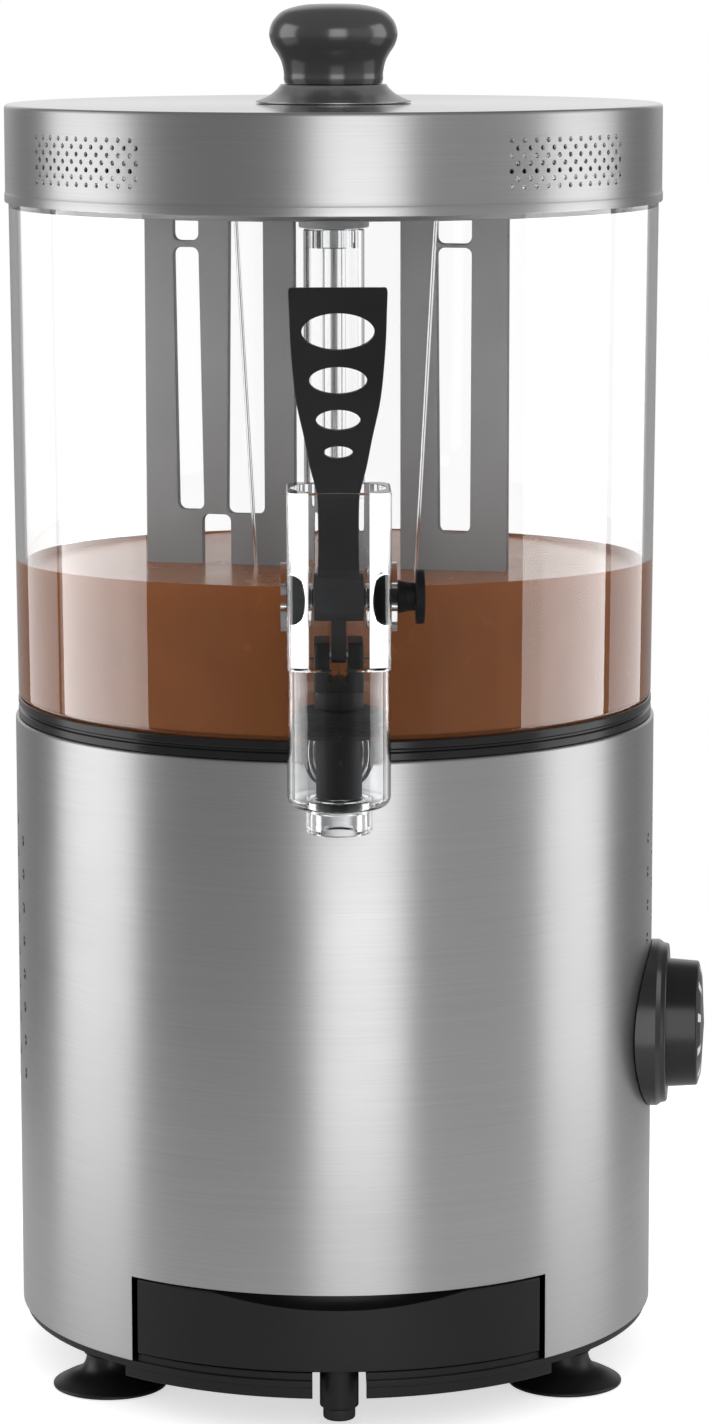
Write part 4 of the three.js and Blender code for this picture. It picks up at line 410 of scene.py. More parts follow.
def printed_dial(tree):
    """Glossy black resin with ten white strokes printed round the end face of the dial."""
    face_at, ring_radius, half_length = 126.3 * MM, 17.6 * MM, 2.4 * MM
    strokes, half_share = 10, 0.12
    broad = grain(tree, 30, 30, 30)
    place = add(tree, "TexCoord")
    back = {"Rotation": (0, 0, -math.radians(DIAL_TURN)), "Location": (0, 0, -DIAL_HEIGHT * MM)}
    straight = add(tree, "Mapping", {"Vector": place.outputs["Object"], **back})
    parts = add(tree, "SeparateXYZ", {"Vector": straight})
    face = add(tree, "Math", (parts.outputs["X"], face_at), operation="GREATER_THAN")
    across = add(tree, "VectorMath", (straight, (0, 1, 1)), operation="MULTIPLY")
    radius = add(tree, "VectorMath", [across], operation="LENGTH")
    ring = add(tree, "Math", (radius.outputs["Value"], ring_radius, half_length), operation="COMPARE")
    angle = add(tree, "Math", (parts.outputs["Z"], parts.outputs["Y"]), operation="ARCTAN2")
    steps = add(tree, "Math", (angle, strokes / (2 * math.pi)), operation="MULTIPLY")
    within = add(tree, "Math", [steps], operation="FRACT")
    stroke = add(tree, "Math", (within, 0.5, half_share), operation="COMPARE")
    band = add(tree, "Math", (ring, stroke), operation="MULTIPLY")
    print_mask = add(tree, "Math", (band, face), operation="MULTIPLY")
    white = add(tree, "Math", (print_mask, 0.7), operation="MULTIPLY")
    looks = mottled(tree, broad, "#131314", "#19191a", 0.24, 0.3)
    printed = add(tree, "VectorMath", (looks["Base Color"], white), operation="ADD")
    return {**looks, "Base Color": printed, "IOR": PLASTIC_IOR}


def clear_plastic(tree, colour, ior, rough, mirror):
    """Clear moulded plastic: it bends light like glass, mirrors a share and lets the lamps through."""
    wave = grain(tree, 40, 40, 60, 1.0)
    path = add(tree, "LightPath")
    ends = (path.outputs["Is Shadow Ray"], tree.nodes["Principled BSDF"], add(tree, "BsdfTransparent"))
    feed(tree.nodes["Material Output"], {"Surface": add(tree, "MixShader", ends)})
    return {
        "Base Color": linear(colour),
        "Roughness": add(tree, "MapRange", (wave, *NOISE, 0.0, rough)),
        "Normal": add(tree, "Bump", {"Height": wave, "Distance": 0.01 * MM}),
        "IOR": ior,
        "Transmission Weight": 1.0,
        "Specular Tint": (mirror, mirror, mirror, 1),
    }


def cocoa(tree):
    """Thick drinking chocolate: opaque warm brown, a wet surface with slow swirls of froth."""
    swirl = grain(tree, 22, 22, 30, 4.0)
    feed(swirl, {"Distortion": 0.8})
    return {
        **mottled(tree, swirl, "#74431f", "#7c4922", 0.2, 0.28),
        "Normal": add(tree, "Bump", {"Height": swirl, "Distance": 0.03 * MM}),
        "IOR": 1.25,
        "Subsurface Weight": 0.1,
        "Subsurface Scale": 2 * MM,
    }


STEEL = made("brushed_stainless_sheet", brushed_stainless)
# Spun from the same sheet, with a polished top.
LID_STEEL = made("spun_stainless_lid", brushed_stainless, 0.8)
# Drawn wire and bar show faint lines along their length.
DRAWN = (0.6, 0.6, 9)
BRIGHT = made("bright_drawn_stainless", metal, DRAWN, "#d2d2d3", "#dededf", 0.14, 0.24)
# Wires and shaft in the bowl are polished and almost white.
WIRE = made("polished_stainless_wire", metal, DRAWN, "#f0f0f0", "#f8f8f8", 0.1, 0.16)
# The collar is a dull, tumbled casting.
COLLAR = made("tumbled_stainless_collar", metal, DRAWN, "#b4b4b5", "#bebebf", 0.3, 0.38)
# Zinc plating is slightly blue and cloudy.
ZINC = made("zinc_plated_steel", metal, (7, 7, 7), "#aeb2b7", "#c4c6c8", 0.3, 0.46, 5.0, 0.02)
# Turned brass, with rings left by the tool.
BRASS = made("turned_brass", metal, (12, 12, 0.4), "#b08f4e", "#c9a964", 0.22, 0.34)
# Moulded ABS, satin, with a fine texture.
ABS = made("black_abs", plastic, "#111112", "#161617", 0.34, 0.42, 0.9, 0.008, 0.35)
# Phenolic resin from a polished mould, glossier than ABS.
RESIN = made("black_phenolic", plastic, "#1b1b1d", "#212123", 0.2, 0.26, 1.6, 0.003, 0.7)
# The lid's knob is the same resin, greyer from handling.
KNOB_RESIN = made("worn_phenolic", plastic, "#343435", "#3b3b3c", 0.16, 0.22, 1.6, 0.003, 1.3)
# Glass-filled nylon for the tap's lever and the rockers hardly mirrors.
NYLON = made("black_nylon", plastic, "#2a2a2b", "#303031", 0.4, 0.5, 1.6, 0.006, 0.1)
# Black acetal for the piston and the pin, smooth.
ACETAL = made("black_acetal", plastic, "#0e0e0f", "#141415", 0.4, 0.5, 1.6, 0.003, 0.1)
# Grey nylon for the stirrer, satin from washing.
GREY = made("grey_nylon", plastic, "#868687", "#8e8e8f", 0.4, 0.5, 1.4, 0.008, 0.3)
# The stirrer's wings carry painted shade on their side faces, and their faces look 14 degrees left of the
# front.
WING = made("grey_nylon_painted_edge_shade", plate_with_painted_edge_shade, "#868687", "#8e8e8f", (-0.2419, -0.9703, 0))
DIAL = made("printed_phenolic", printed_dial)
# Acetal is milky white and smooth.
WHITE = made("white_acetal", plastic, "#dedad0", "#e8e5dc", 0.32, 0.42, 1.4, 0.006)
# Nitrile rubber is matt and nearly black.
RUBBER = made("nitrile_rubber", plastic, "#0d0d0e", "#131314", 0.36, 0.46, 0.9, 0.01)
# The piston's seal is duller.
DULL_RUBBER = made("dull_nitrile_rubber", plastic, "#0e0e0f", "#141415", 0.55, 0.65, 0.9, 0.01, 0.06)
# Silicone from a polished mould is glossier.
SILICONE = made("black_silicone", plastic, "#0e0e0f", "#141415", 0.16, 0.24, 2.0, 0.003)
# Acrylic and polycarbonate, clear with a faint wave in their faces.
BOWL_CLEAR = made("clear_acrylic", clear_plastic, "#ffffff", 1.49, 0.02, 0.5)
TAP_CLEAR = made("clear_polycarbonate", clear_plastic, "#fdfeff", 1.53, 0.03, 0.3)
DRINK = made("drinking_chocolate", cocoa)


# Base


def feet():
    """Four suction feet: a soft cup, a neck and a stud."""
    radius, height = 19.4, 11
    shares = [(1, 0.02), (1, 0.09), (0.93, 0.17), (0.76, 0.33)]
    shares += [(0.58, 0.47), (0.48, 0.62), (0.43, 0.8), (0.41, 1)]
    outside = flowing([(r * radius, z * height) for r, z in shares], 3)
    profile = [(0, 3.4), (8, 3.2), (13, 2.2), (16.6, 0), (19, 0)] + outside
    profile += [(3, height), (3, 19.6), (0, 19.6)]
    for name, (x, y) in FOOT_PLACES.items():
        cup = move(lathe(profile, 72), x, y)
        fit(cup, "suction_" + name, RUBBER, "base", name)


def pan():
    """The bottom pan: dish, upstand, skirt under the tray, guides and foot bosses."""
    dish = lathe(rounded([(0, 17), (108.8, 17, 0.8), (108.8, 19.7, 0.4), (0, 19.7)]), 160)
    upstand = lathe([(106.1, 17.5), (108.5, 17.5), (108.5, 29.7), (106.1, 29.7)], 160, closed=True)
    cut(upstand, box((-69.5, 69.5), (-112, 0), (19.7, 40)))
    cut(dish, upstand, "UNION")
    corners = [(104, 13.2, 0.6), (108, 13.2, 0.8), (108, 22.4, 0.6), (104, 22.4, 0.6)]
    skirt = lathe(rounded(corners, True), 160, closed=True)
    cut(skirt, box((-71.5, 71.5), (-112, 0), (5, 30)), "INTERSECT")
    for side in (-1, 1):
        ends = sorted([side * 67, side * 110])
        cut(skirt, box(ends, (-112, 0), (19.7, 30)))
    cut(dish, skirt, "UNION")
    for side in (-1, 1):
        strip = sorted([side * 57, side * 66])
        lip = sorted([side * 63, side * 66])
        guide = box(strip, (-81.7, -12), (18, 22.6))
        cut(guide, box(lip, (-81.7, -12), (18.2, 32.9)), "UNION")
        cut(dish, guide, "UNION")
    for x, y in FOOT_PLACES.values():
        boss = move(lathe(rounded([(0, 11.3), (9, 11.3, 0.6), (9.6, 18), (0, 18)]), 40), x, y)
        cut(dish, boss, "UNION")
        cut(dish, rod(3.3, 5, 30, "Z", 24, (x, y)))
    cut(dish, box((-8.9, 8.9), (-114, -90.1), (0, 60)))
    fit(dish, "bottom_pan", ABS, "base", "chassis_pan")


def shell():
    """The steel drum: rolled top edge, tray opening, spigot slot, air holes and openings at the back."""
    wall = [(110, 20 + 12 * i) for i in range(1, 17)]
    profile = [(109, 20), (109.8, 20), (110, 20.2)] + wall
    corners = [(110, 215), (110, 226.5, 0.9), (106.4, 226.5, 0.4), (106.4, 225.5), (109, 225.5), (109, 215)]
    profile += rounded(corners)[1:]
    drum = lathe(profile, 192, closed=True)
    cut(drum, box((-69, 69), FRONT, (0, 49.2)))
    cut(drum, rod(10, *FRONT, "Y", 48, SPIGOT))
    cut(drum, box((-10, 10), FRONT, (SPIGOT_HEIGHT, 240)))
    through, first_row, pitch, above_dial = (106, 113), 104.5, 11.6, 149.3
    holes = []
    for column in range(4):
        lift = pitch / 2 if column % 2 else 0
        degrees = 14 - 6 * column
        for row in range(8):
            height = first_row + pitch * row + lift
            for angle in (-degrees, 180 + degrees):
                if angle == -degrees and height < above_dial:
                    continue
                hole = rod(1.9, *through, "X", 16, (0, height))
                holes.append(move(hole, turn=(0, 0, angle)))
    cut(drum, join(holes))
    cut(drum, move(rod(3.5, *through, "X", 24, (0, DIAL_HEIGHT)), turn=(0, 0, DIAL_TURN)))
    for side in (-1, 1):
        opening = box(through, (-8.6, 8.6), (80.5, 103.5))
        cut(drum, move(opening, turn=(0, 0, 90 + 10 * side)))
    cut(drum, move(box(through, (-13.8, 13.8), (45.7, 66.3)), turn=(0, 0, 90)))
    fit(drum, "steel_shell", STEEL, "base", "outer_shell")


def gasket():
    """The black ring under the bowl, with a groove round it."""
    corners = [(106.4, 226.8), (109, 226.8, 0.4), (109, 229.2, 0.4), (108.2, 229.7, 0.2)]
    corners += [(108.2, 230.3, 0.2), (109, 230.8, 0.4), (109, 233.3, 0.6), (106.4, 233.3)]
    ring = lathe(rounded(corners), 192, closed=True)
    cut(ring, rod(10, *FRONT, "Y", 48, SPIGOT))
    cut(ring, box((-10, 10), FRONT, (SPIGOT_HEIGHT, 240)))
    fit(ring, "bowl_gasket", SILICONE, "base", "base_gasket")


# Controls


def dial():
    """The stepped bezel, curved to the drum, and the round knob with its printed end."""
    corners = [(0, 101), (28.7, 101), (28.7, 112.6, 0.5), (27.6, 114.2, 0.5), (27.2, 116, 0.7)]
    corners += [(22.8, 116, 0.4), (22.8, 114.5, 0.2), (0, 114.5)]
    bezel = move(lathe(rounded(corners), 96), turn=ALONG_X)
    rim, stretch = 25, 1.1
    for vertex in bezel.data.vertices:
        if math.hypot(vertex.co.y, vertex.co.z) > rim * MM:
            vertex.co.y *= stretch
    cut(bezel, rod(110.3, -40, 40, "Z", 192))
    cut(bezel, rod(3.5, 90, 130, "X", 32))
    move(bezel, z=DIAL_HEIGHT, turn=(0, 0, DIAL_TURN))
    fit(bezel, "dial_ring", RESIN, "base", "dial_bezel")
    corners = [(0, 115), (22.3, 115, 0.6), (21.5, 126.4, 0.9), (17, 127.6, 5), (0, 128.5)]
    knob = lathe(rounded(corners), 120)
    cut(knob, rod(3.3, 110, 123.3, "Z", 32))
    cut(knob, box((12.5, 19.5), (-0.7, 0.7), (127, 130)))
    move(knob, turn=ALONG_X)
    move(knob, z=DIAL_HEIGHT, turn=(0, 0, DIAL_TURN))
    fit(knob, "thermostat_knob", DIAL, "dial", "dial_knob")


def switches():
    """Two rocker switches in their frames."""
    for name, side in (("heater", 1), ("mixer", -1)):
        place = {"z": SWITCH_HEIGHT, "turn": (0, 0, 90 + 10 * side)}
        housing = box((96.3, 112.1), (-8.3, 8.3), (-11.2, 11.2))
        cut(housing, prism(rounded_box(9.5, 12.4, 1.6), 110.3, 112.1, "X"), "UNION")
        cut(housing, box((98.1, 116), (-6.5, 6.5), (-9.4, 9.4)))
        soften(housing, 0.4)
        node = name + "_switch_"
        fit(move(housing, **place), name + "_frame", ABS, "base", node + "frame")
        outline = [(-5, -8.2), (4.2, -8.2)]
        outline += [(2.6 + 1.6 * (i / 6) ** 2, 8.2 * i / 6) for i in range(-5, 6)]
        outline += [(4.2, 8.2), (-5, 8.2)]
        key = prism([(z, x) for x, z in outline], -6, 6, "Y")
        # The outline is drawn along Z and X, so it is turned upright.
        move(key, turn=ALONG_X)
        soften(key, 0.5)
        cut(key, box((3.6, 6), (-0.5, 0.5), (-6.4, -3.4)))
        move(key, turn=(0, 9, 0))
        move(key, x=110)
        body = name + "_rocker"
        fit(move(key, **place), body + "_key", NYLON, body, node + "rocker")


def inlet():
    """The power inlet: a flange, a deep socket and three flat blades."""
    body = box((94.3, 112.3), (-13.5, 13.5), (-10, 10))
    flange = prism(rounded_box(18.5, 15, 4), 110.3, 112.3, "X")
    soften(flange, 0.6)
    cut(body, flange, "UNION")
    cut(body, prism(rounded_box(11.5, 8, 2), 96.3, 116, "X"))
    for spacing in (-7, 0, 7):
        blade = box((95.3, 107.5), (spacing - 1, spacing + 1), (-2, 2))
        soften(blade, 0.4)
        cut(body, blade, "UNION")
    fit(move(body, z=56, turn=(0, 0, 90)), "mains_inlet", ABS, "base", "power_inlet")


# Drip tray


def half_moon(radius, half_width, back, low, high):
    """A disc cut by the tray's two sides and its back."""
    disc = lathe([(0, low), (radius, low), (radius, high), (0, high)], 160)
    keep = box((-half_width, half_width), (FRONT[0], -back), (low - 3, high + 3))
    return cut(disc, keep, "INTERSECT")


def finger_scoop():
    """The finger pull's hollow: a quarter-round groove round the panel, lowest in the middle."""
    outer, inner, depth, low = 112.5, 105.9, 4.7, 44.2
    half_length, rise = 45, 5
    quarter = arc(inner + depth, low + depth, depth, -math.pi / 2, -math.pi / 2, 8)
    profile = [(outer, low)] + quarter + [(inner, 56), (outer, 56)]
    groove = lathe(profile, 256, closed=True)
    bend = (half_length**2 + rise**2) / (2 * rise)
    for vertex in groove.data.vertices:
        radius = math.hypot(vertex.co.x, vertex.co.y)
        across = vertex.co.x / radius * 110
        vertex.co.z += (bend - math.sqrt(bend**2 - across**2)) * MM
    return cut(groove, box((-70, 70), (-120, -50), (30, 120)), "INTERSECT")


def tray():
    """The drawer: box, curved front panel with its crescent pull, ledges and the drain spout."""
    drawer = half_moon(107.9, 62.5, 12, 22.9, 44.9)
    cut(drawer, half_moon(105.4, 60.3, 14.2, 25.1, 60))
    for side in (-1, 1):
        ends = sorted([side * 57.3, side * 61.4])
        cut(drawer, box(ends, (-84.9, -13.1), (24, 38.6)), "UNION")
    corners = [(107.6, 23.2), (110.6, 23.2, 0.8), (110.6, 48.7, 0.8), (107.6, 48.7)]
    panel = lathe(rounded(corners), 192, closed=True)
    cut(panel, box((-67, 67), FRONT, (20, 52)), "INTERSECT")
    cut(drawer, panel, "UNION")
    lip = lathe([(105.4, 42), (109, 42), (109, 48.7), (105.4, 48.7)], 192, closed=True)
    cut(lip, box((-52, 52), FRONT, (40, 50)), "INTERSECT")
    cut(drawer, lip, "UNION")
    cut(drawer, finger_scoop())
    spout = lathe(rounded([(0, 8.6), (6.45, 8.6, 0.5), (6.45, 24), (0, 24)]), 48)
    cut(drawer, move(spout, y=SPOUT_DEPTH), "UNION")
    cut(drawer, rod(4, 0, 40, "Z", 32, (0, SPOUT_DEPTH)))
    fit(drawer, "tray_drawer", ABS, "tray", "drip_tray")


def grid():
    """The slotted grid that a cup stands on."""
    radius, half_width, back, edge, bar, count = 104.9, 59.8, 14.7, 7, 4.7, 9
    plate = half_moon(radius, half_width, back, 38.9, 40.9)
    pitch = 2 * (half_width - edge) / count
    half = (pitch - bar) / 2
    rear = -(back + edge)
    slots = []
    for i in range(count):
        x = (i - 4) * pitch
        front = edge - math.sqrt(radius**2 - (abs(x) + half) ** 2)
        middle = (front + rear) / 2
        length = (rear - front) / 2
        slots.append(prism(rounded_box(half, length, half - 0.05, (x, middle), 6), 36, 44))
    cut(plate, join(slots))
    soften(plate, 0.4)
    fit(plate, "cup_grid", ABS, "tray", "drip_grid")


def drain_plug():
    """The rubber plug in the tray's spout."""
    corners = [(0, 4.3), (5.35, 4.3, 0.9), (5.35, 8.3, 0.3), (3.7, 8.3), (3.7, 18.3, 0.8), (0, 18.3)]
    plug = move(lathe(rounded(corners), 40), y=SPOUT_DEPTH)
    fit(plug, "spout_plug", RUBBER, "tray", "tray_drain_plug")


# Bowl


def clear_bowl():
    """The clear bowl: seat, shoulder, flared wall, stepped rim, centre column and spigot."""
    outside = [(108.9 + FLARE * i / 8, 233.6 + 168.7 * i / 8) for i in range(1, 8)]
    inside = [(105.9 + FLARE * i / 8, INNER_FOOT + INNER_RISE * i / 8) for i in range(7, 0, -1)]
    corners = [(8.6, 221), (105.9, 221, 1.5), (105.9, 233.6, 0.4), (108.9, 233.6, 1.2), outside[0]]
    profile = rounded(corners)[:-1] + outside
    rim = [outside[-1], (110.2, 402.3, 0.8), (108.4, 404.5, 0.8), (108.4, 414, 0.8)]
    rim += [(105.7, 414, 0.8), (105.7, 404.5, 0.8), (107.2, 400.1, 1.2), inside[0]]
    bottom = [inside[-1], (105.9, 234.9, 0.8), (102.9, 232.4, 0.8), (102.9, 224, 2)]
    bottom += [(10.4, 224, 2.5), (10.4, 392, 0.5), (8.6, 392, 0.5), (8.6, 221)]
    profile += rounded(rim)[1:-1] + inside + rounded(bottom)[1:-1]
    wall = lathe(profile, 192, closed=True)
    spigot = move(lathe(rounded([(0, 0), (9.5, 0, 0.6), (9.5, 12.2), (0, 12.2)]), 48), turn=ALONG_Y)
    cut(wall, move(spigot, y=-115.5, z=SPIGOT_HEIGHT), "UNION")
    cut(wall, rod(6.5, -119, -98, "Y", 48, SPIGOT))
    fit(wall, "clear_bowl", BOWL_CLEAR, "bowl_unit", "bowl", 30)


def drink():
    """One body of liquid round the column. It wets the wall above its surface, most at the front."""
    level, wetted, creep = 276.4, 283.6, 0.3
    column, wall_low = 10.3, 106
    wall_high = wall_low + FLARE * (wetted - INNER_FOOT) / INNER_RISE
    corners = [(column, 223.9), (103, 223.9, 2), (103, 232.3, 0.8), (wall_low, 234.8, 0.8)]
    profile = rounded(corners + [(wall_low, 240)])
    edge = [(0.05, 0), (0, wetted - level), (0.4, wetted - level), (0.55, creep), (0.9, 0.12), (1.8, 0.04)]
    profile += [(wall_high - inwards, level + rise) for inwards, rise in edge]
    profile += [(radius, level) for radius in (wall_high - 3.5, 80, 55, 30, 13)]
    profile += [(11.2, level + 0.1), (10.5, level + creep), (column, level + creep)]
    body = lathe(profile, 160, closed=True)
    for vertex in body.data.vertices:
        rise = vertex.co.z - (level + creep) * MM
        if rise > 0:
            front = 0.5 - 0.5 * vertex.co.y / math.hypot(vertex.co.x, vertex.co.y)
            vertex.co.z -= rise * (1 - front)
    fit(body, "chocolate", DRINK, "bowl_unit", "drink_charge", 50)


# Tap


def tap():
    """The clear tap body: nozzle, round barrel, square top with its front window, ears and rear boss."""
    half, bore = 16.5, 15.2
    corners = [(0, 208.3), (10.6, 208.3, 0.8), (10.6, 216.7, 0.8), (half, 216.7, 3.4), (half, 263)]
    barrel = lathe(rounded(corners + [(0, 263)]), 96)
    square = prism(rounded_box(half, half, 5, steps=8), 262, 318.3)
    soften(square, 0.7, 60, 3)
    cut(barrel, square, "UNION")
    cut(barrel, rod(11, -18.3, 18.3, "X", 64, PIVOT), "UNION")
    boss = rod(12.5, 0, 19.6, "Y", 64, SPIGOT)
    soften(boss, 0.6, 60, 3)
    cut(barrel, boss, "UNION")
    cut(barrel, rod(bore, 219.9, 330, "Z", 96))
    cut(barrel, box((-9.5, 9.5), (-15.1, 0), (262.8, 330)))
    cut(barrel, rod(7.6, 214.8, 222, "Z", 64))
    cut(barrel, rod(6, 200, 222, "Z", 64))
    cut(barrel, rod(6.5, 3, 25, "Y", 48, SPIGOT))
    cut(barrel, rod(9.8, 16, 25, "Y", 48, SPIGOT))
    cut(barrel, box((-8.2, 8.2), (-20, 0), (294.3, 316.6)))
    cut(barrel, box((-8.8, 8.8), (-20, -16.1), (293.7, 317.2)))
    cut(barrel, rod(2.9, -30, 30, "X", 32, PIVOT))
    fit(move(barrel, y=TAP_DEPTH), "tap_barrel", TAP_CLEAR, "bowl_unit", "tap_body", 30)


def tap_seal():
    """The ring between the bowl and the tap."""
    ring = lathe(rounded([(9.8, 0), (12.2, 0, 0.4), (12.2, 1.5, 0.4), (9.8, 1.5)]), 64, closed=True)
    move(ring, 0, -112.1, SPIGOT_HEIGHT, ALONG_Y)
    fit(ring, "tap_ring", RUBBER, "bowl_unit", "tap_inlet_seal")


def pin():
    """The pivot pin with its necked thumb head on the right."""
    corners = [(0, -16.5), (2.6, -16.5, 0.4), (2.6, 18.6), (5.4, 18.6, 0.4), (4.6, 21.5, 1.5)]
    corners += [(4.4, 24.2, 0.4), (8.6, 24.2, 0.7), (8.6, 27.2, 0.9), (0, 27.2)]
    pivot = move(lathe(rounded(corners), 64), 0, TAP_DEPTH, PIVOT_HEIGHT, ALONG_X)
    fit(pivot, "thumb_pin", ACETAL, "bowl_unit", "pivot_pin")


def spacers():
    """The clear spacers that centre the lever."""
    for name, low, high in (("left", -11.57, -8.5), ("right", 8.5, 11.57)):
        corners = [(2.9, low), (9.5, low, 0.5), (9.5, high, 0.5), (2.9, high)]
        washer = lathe(rounded(corners), 64, closed=True)
        move(washer, 0, TAP_DEPTH, PIVOT_HEIGHT, ALONG_X)
        node = "pivot_spacer_" + name
        fit(washer, "lever_washer_" + name, TAP_CLEAR, "bowl_unit", node)


def lever():
    """The tap's lever: a waisted blade with four oval holes, bent at its top, a hub and a tongue."""
    half_width, rise, thick, levels = 15.6, 96.8, 5.5, 40
    shares = [(0.51, 0), (0.42, 0.1), (0.42, 0.3), (0.475, 0.36), (0.57, 0.42), (0.69, 0.518)]
    shares += [(0.86, 0.648), (0.955, 0.811), (0.985, 0.93), (1, 0.985)]
    right = flowing([(x * half_width, z * rise) for x, z in shares], 5)
    right += [(0.99 * half_width, 0.998 * rise), (0.955 * half_width, rise)]
    outline = right + [(-x, z) for x, z in reversed(right)]
    blade = prism(outline, 0, thick, "Y")
    holes = [(0.86, 0.735, 0.0595), (0.7025, 0.585, 0.0444), (0.574, 0.449, 0.0341)]
    holes += [(0.469, 0.295, 0.0207)]
    for centre, wide, tall in holes:
        points = oval(wide * half_width, tall * rise, 40, (0, centre * rise))
        cut(blade, prism(points, -5, 12, "Y"))
    soften(blade, 0.7, 50, 3)
    edit()
    for level in range(1, levels):
        bpy.ops.mesh.select_all(action="SELECT")
        bpy.ops.mesh.bisect(plane_co=(0, 0, rise * MM * level / levels), plane_no=(0, 0, 1))
    clear()
    front = flowing([(-0.75, 0), (0.22, 0.29), (0.22, 0.5), (0.22, 0.8), (0.45, 0.92), (0.8, 1)], 8)
    back = flowing([(0.9, 0), (1.2, 0.29), (1.2, 0.5), (1.2, 0.8), (1.3, 0.9), (1.5, 1)], 8)
    for vertex in blade.data.vertices:
        share = min(max(vertex.co.z / (rise * MM), 0), 1)
        depth = vertex.co.y / (thick * MM)
        near = level_of(front, share)
        far = level_of(back, share)
        vertex.co.y = (near + (far - near) * depth) * thick * MM
    hub = rod(7.6, -8, 8, "X", 64)
    soften(hub, 0.5, 60, 2)
    cut(hub, blade, "UNION")
    tip = (0.4, 0.8, 1.2, 1.57, 1.94, 2.34, 2.74)
    outline = [(3, 0), (3, -CAM_REACH)]
    outline += [(3 * math.cos(turn), -CAM_REACH - 3 * math.sin(turn)) for turn in tip]
    outline += [(-3, -CAM_REACH), (-3, 0)]
    tongue = prism(outline, -2.5, 2.5, "X")
    soften(tongue, 0.3, 60, 2)
    cut(hub, tongue, "UNION")
    cut(hub, rod(2.9, -20, 20, "X", 32))
    cut(hub, rod(2, -20, 20, "X", 32, (0, -CAM_REACH)))
    move(hub, y=TAP_DEPTH, z=PIVOT_HEIGHT)
    fit(hub, "pull_lever", NYLON, "lever", "tap_lever", 40)


def level_of(line, height):
    """The first value of a line of (value, height) at a height."""
    for (a, low), (b, high) in zip(line, line[1:]):
        if low <= height <= high:
            return a + (b - a) * (height - low) / max(high - low, 1e-9)
    return line[-1][0]


def piston():
    """The tap's piston: plug, seal groove, neck and the forked head with its slanted cam slot."""
    corners = [(0, 217.7), (7.3, 217.7, 1.2), (7.3, 239.3, 0.4), (5, 239.3), (5, 248.2)]
    corners += [(7.8, 248.2, 0.6), (7.8, 254.2), (0, 254.2)]
    core = lathe(rounded(corners), 64)
    head = prism(rounded_box(7.8, 8.75, 1.6, (0, 2.25)), 253.9, 269.9)
    soften(head, 0.6, 50, 3)
    cut(core, head, "UNION")
    cut(core, box((-3, 3), (-20, 20), (257.4, 280)))
    swing, stroke, radius = math.radians(22), 5, 2.4
    height = PIVOT_HEIGHT - CAM_REACH
    back = CAM_REACH * math.sin(swing)
    lift = CAM_REACH * (1 - math.cos(swing)) - stroke
    tilt = math.atan2(lift, back)
    slot = arc(0, height, radius, tilt + math.pi / 2, math.pi, 12)
    slot += arc(back, height + lift, radius, tilt - math.pi / 2, math.pi, 12)
    cut(core, prism(slot, -12, 12, "X"))
    fit(move(core, y=TAP_DEPTH), "valve_piston", ACETAL, "piston", "tap_piston")


def seal():
    """The piston's lipped seal."""
    corners = [(5.3, 239.6), (13.3, 239.6, 0.4), (14.9, 241.2, 0.6), (14.9, 242.8, 0.3), (14.2, 243.4, 0.3)]
    corners += [(14.2, 244.2, 0.3), (14.9, 244.8, 0.3), (14.9, 246.3, 0.6), (13.3, 247.9, 0.4), (5.3, 247.9)]
    ring = move(lathe(rounded(corners), 64, closed=True), y=TAP_DEPTH)
    fit(ring, "piston_lip_seal", DULL_RUBBER, "piston", "piston_seal")


# Lid


def lid():
    """The spun steel lid with its rolled edge, hem and two patches of fine holes."""
    radius, inner, hem, top, bore, pitch = 111.3, 110.5, 401.8, 434.4, 2.8, 4.88
    wall = [(radius, 406.5 + 3.6 * i) for i in range(8)]
    profile = [(inner, hem), (111.4, hem), (111.55, 402.1), (111.55, 404.4), (111.45, 404.9)]
    profile += [(radius, 405.2)] + wall
    corners = [wall[-1], (radius, top, 1.3), (96, top), (60, top), (26, top), (bore, top)]
    profile += rounded(corners, steps=7)[1:]
    profile += rounded([(bore, top - 0.8), (60, top - 0.8), (inner, top - 0.8, 1.4), (inner, hem)])[:-1]
    cover = lathe(profile, 192, closed=True)
    holes = []
    step = math.degrees(pitch / radius)
    for side in (-1, 1):
        for row in range(7):
            height = 417.7 + (row - 3) * pitch / 2
            shift = 0.5 if row % 2 else 0
            for column in range(11):
                along = (column - 5 + shift - 0.25) * step
                hole = rod(0.85, 108, 114, "X", 10, (0, height))
                holes.append(move(hole, turn=(0, 0, -90 + side * 45.8 - 2.5 + along)))
    cut(cover, join(holes))
    fit(cover, "steel_lid", LID_STEEL, "lid", "lid_cover")


def collar():
    """The flared steel collar under the knob."""
    outside = flowing([(26.3, 435), (24.4, 435.7), (21.4, 437.2), (19.2, 439), (18, 440.5)], 4)
    profile = [(2.8, 434.7), (26.3, 434.7)] + outside + [(17.7, 440.7), (2.8, 440.7)]
    ring = lathe(profile, 96, closed=True)
    fit(ring, "knob_collar", COLLAR, "lid", "lid_collar")


def knob():
    """The lid's turned black knob."""
    shares = [(0.76, 0), (0.775, 0.06), (0.775, 0.14), (0.81, 0.27), (0.87, 0.37), (0.955, 0.48)]
    shares += [(1, 0.61), (0.975, 0.73), (0.9, 0.83), (0.76, 0.92), (0.5, 0.98), (0.25, 0.997), (0, 1)]
    radius, foot, rise = 21.7, 441, 26.6
    outside = flowing([(r * radius, foot + z * rise) for r, z in shares], 4)
    ball = lathe([(0, foot)] + outside, 96)
    cut(ball, rod(2.8, 430, 453.3, "Z", 32))
    fit(ball, "lid_handle", KNOB_RESIN, "lid", "lid_knob", 45)


# Stirrer


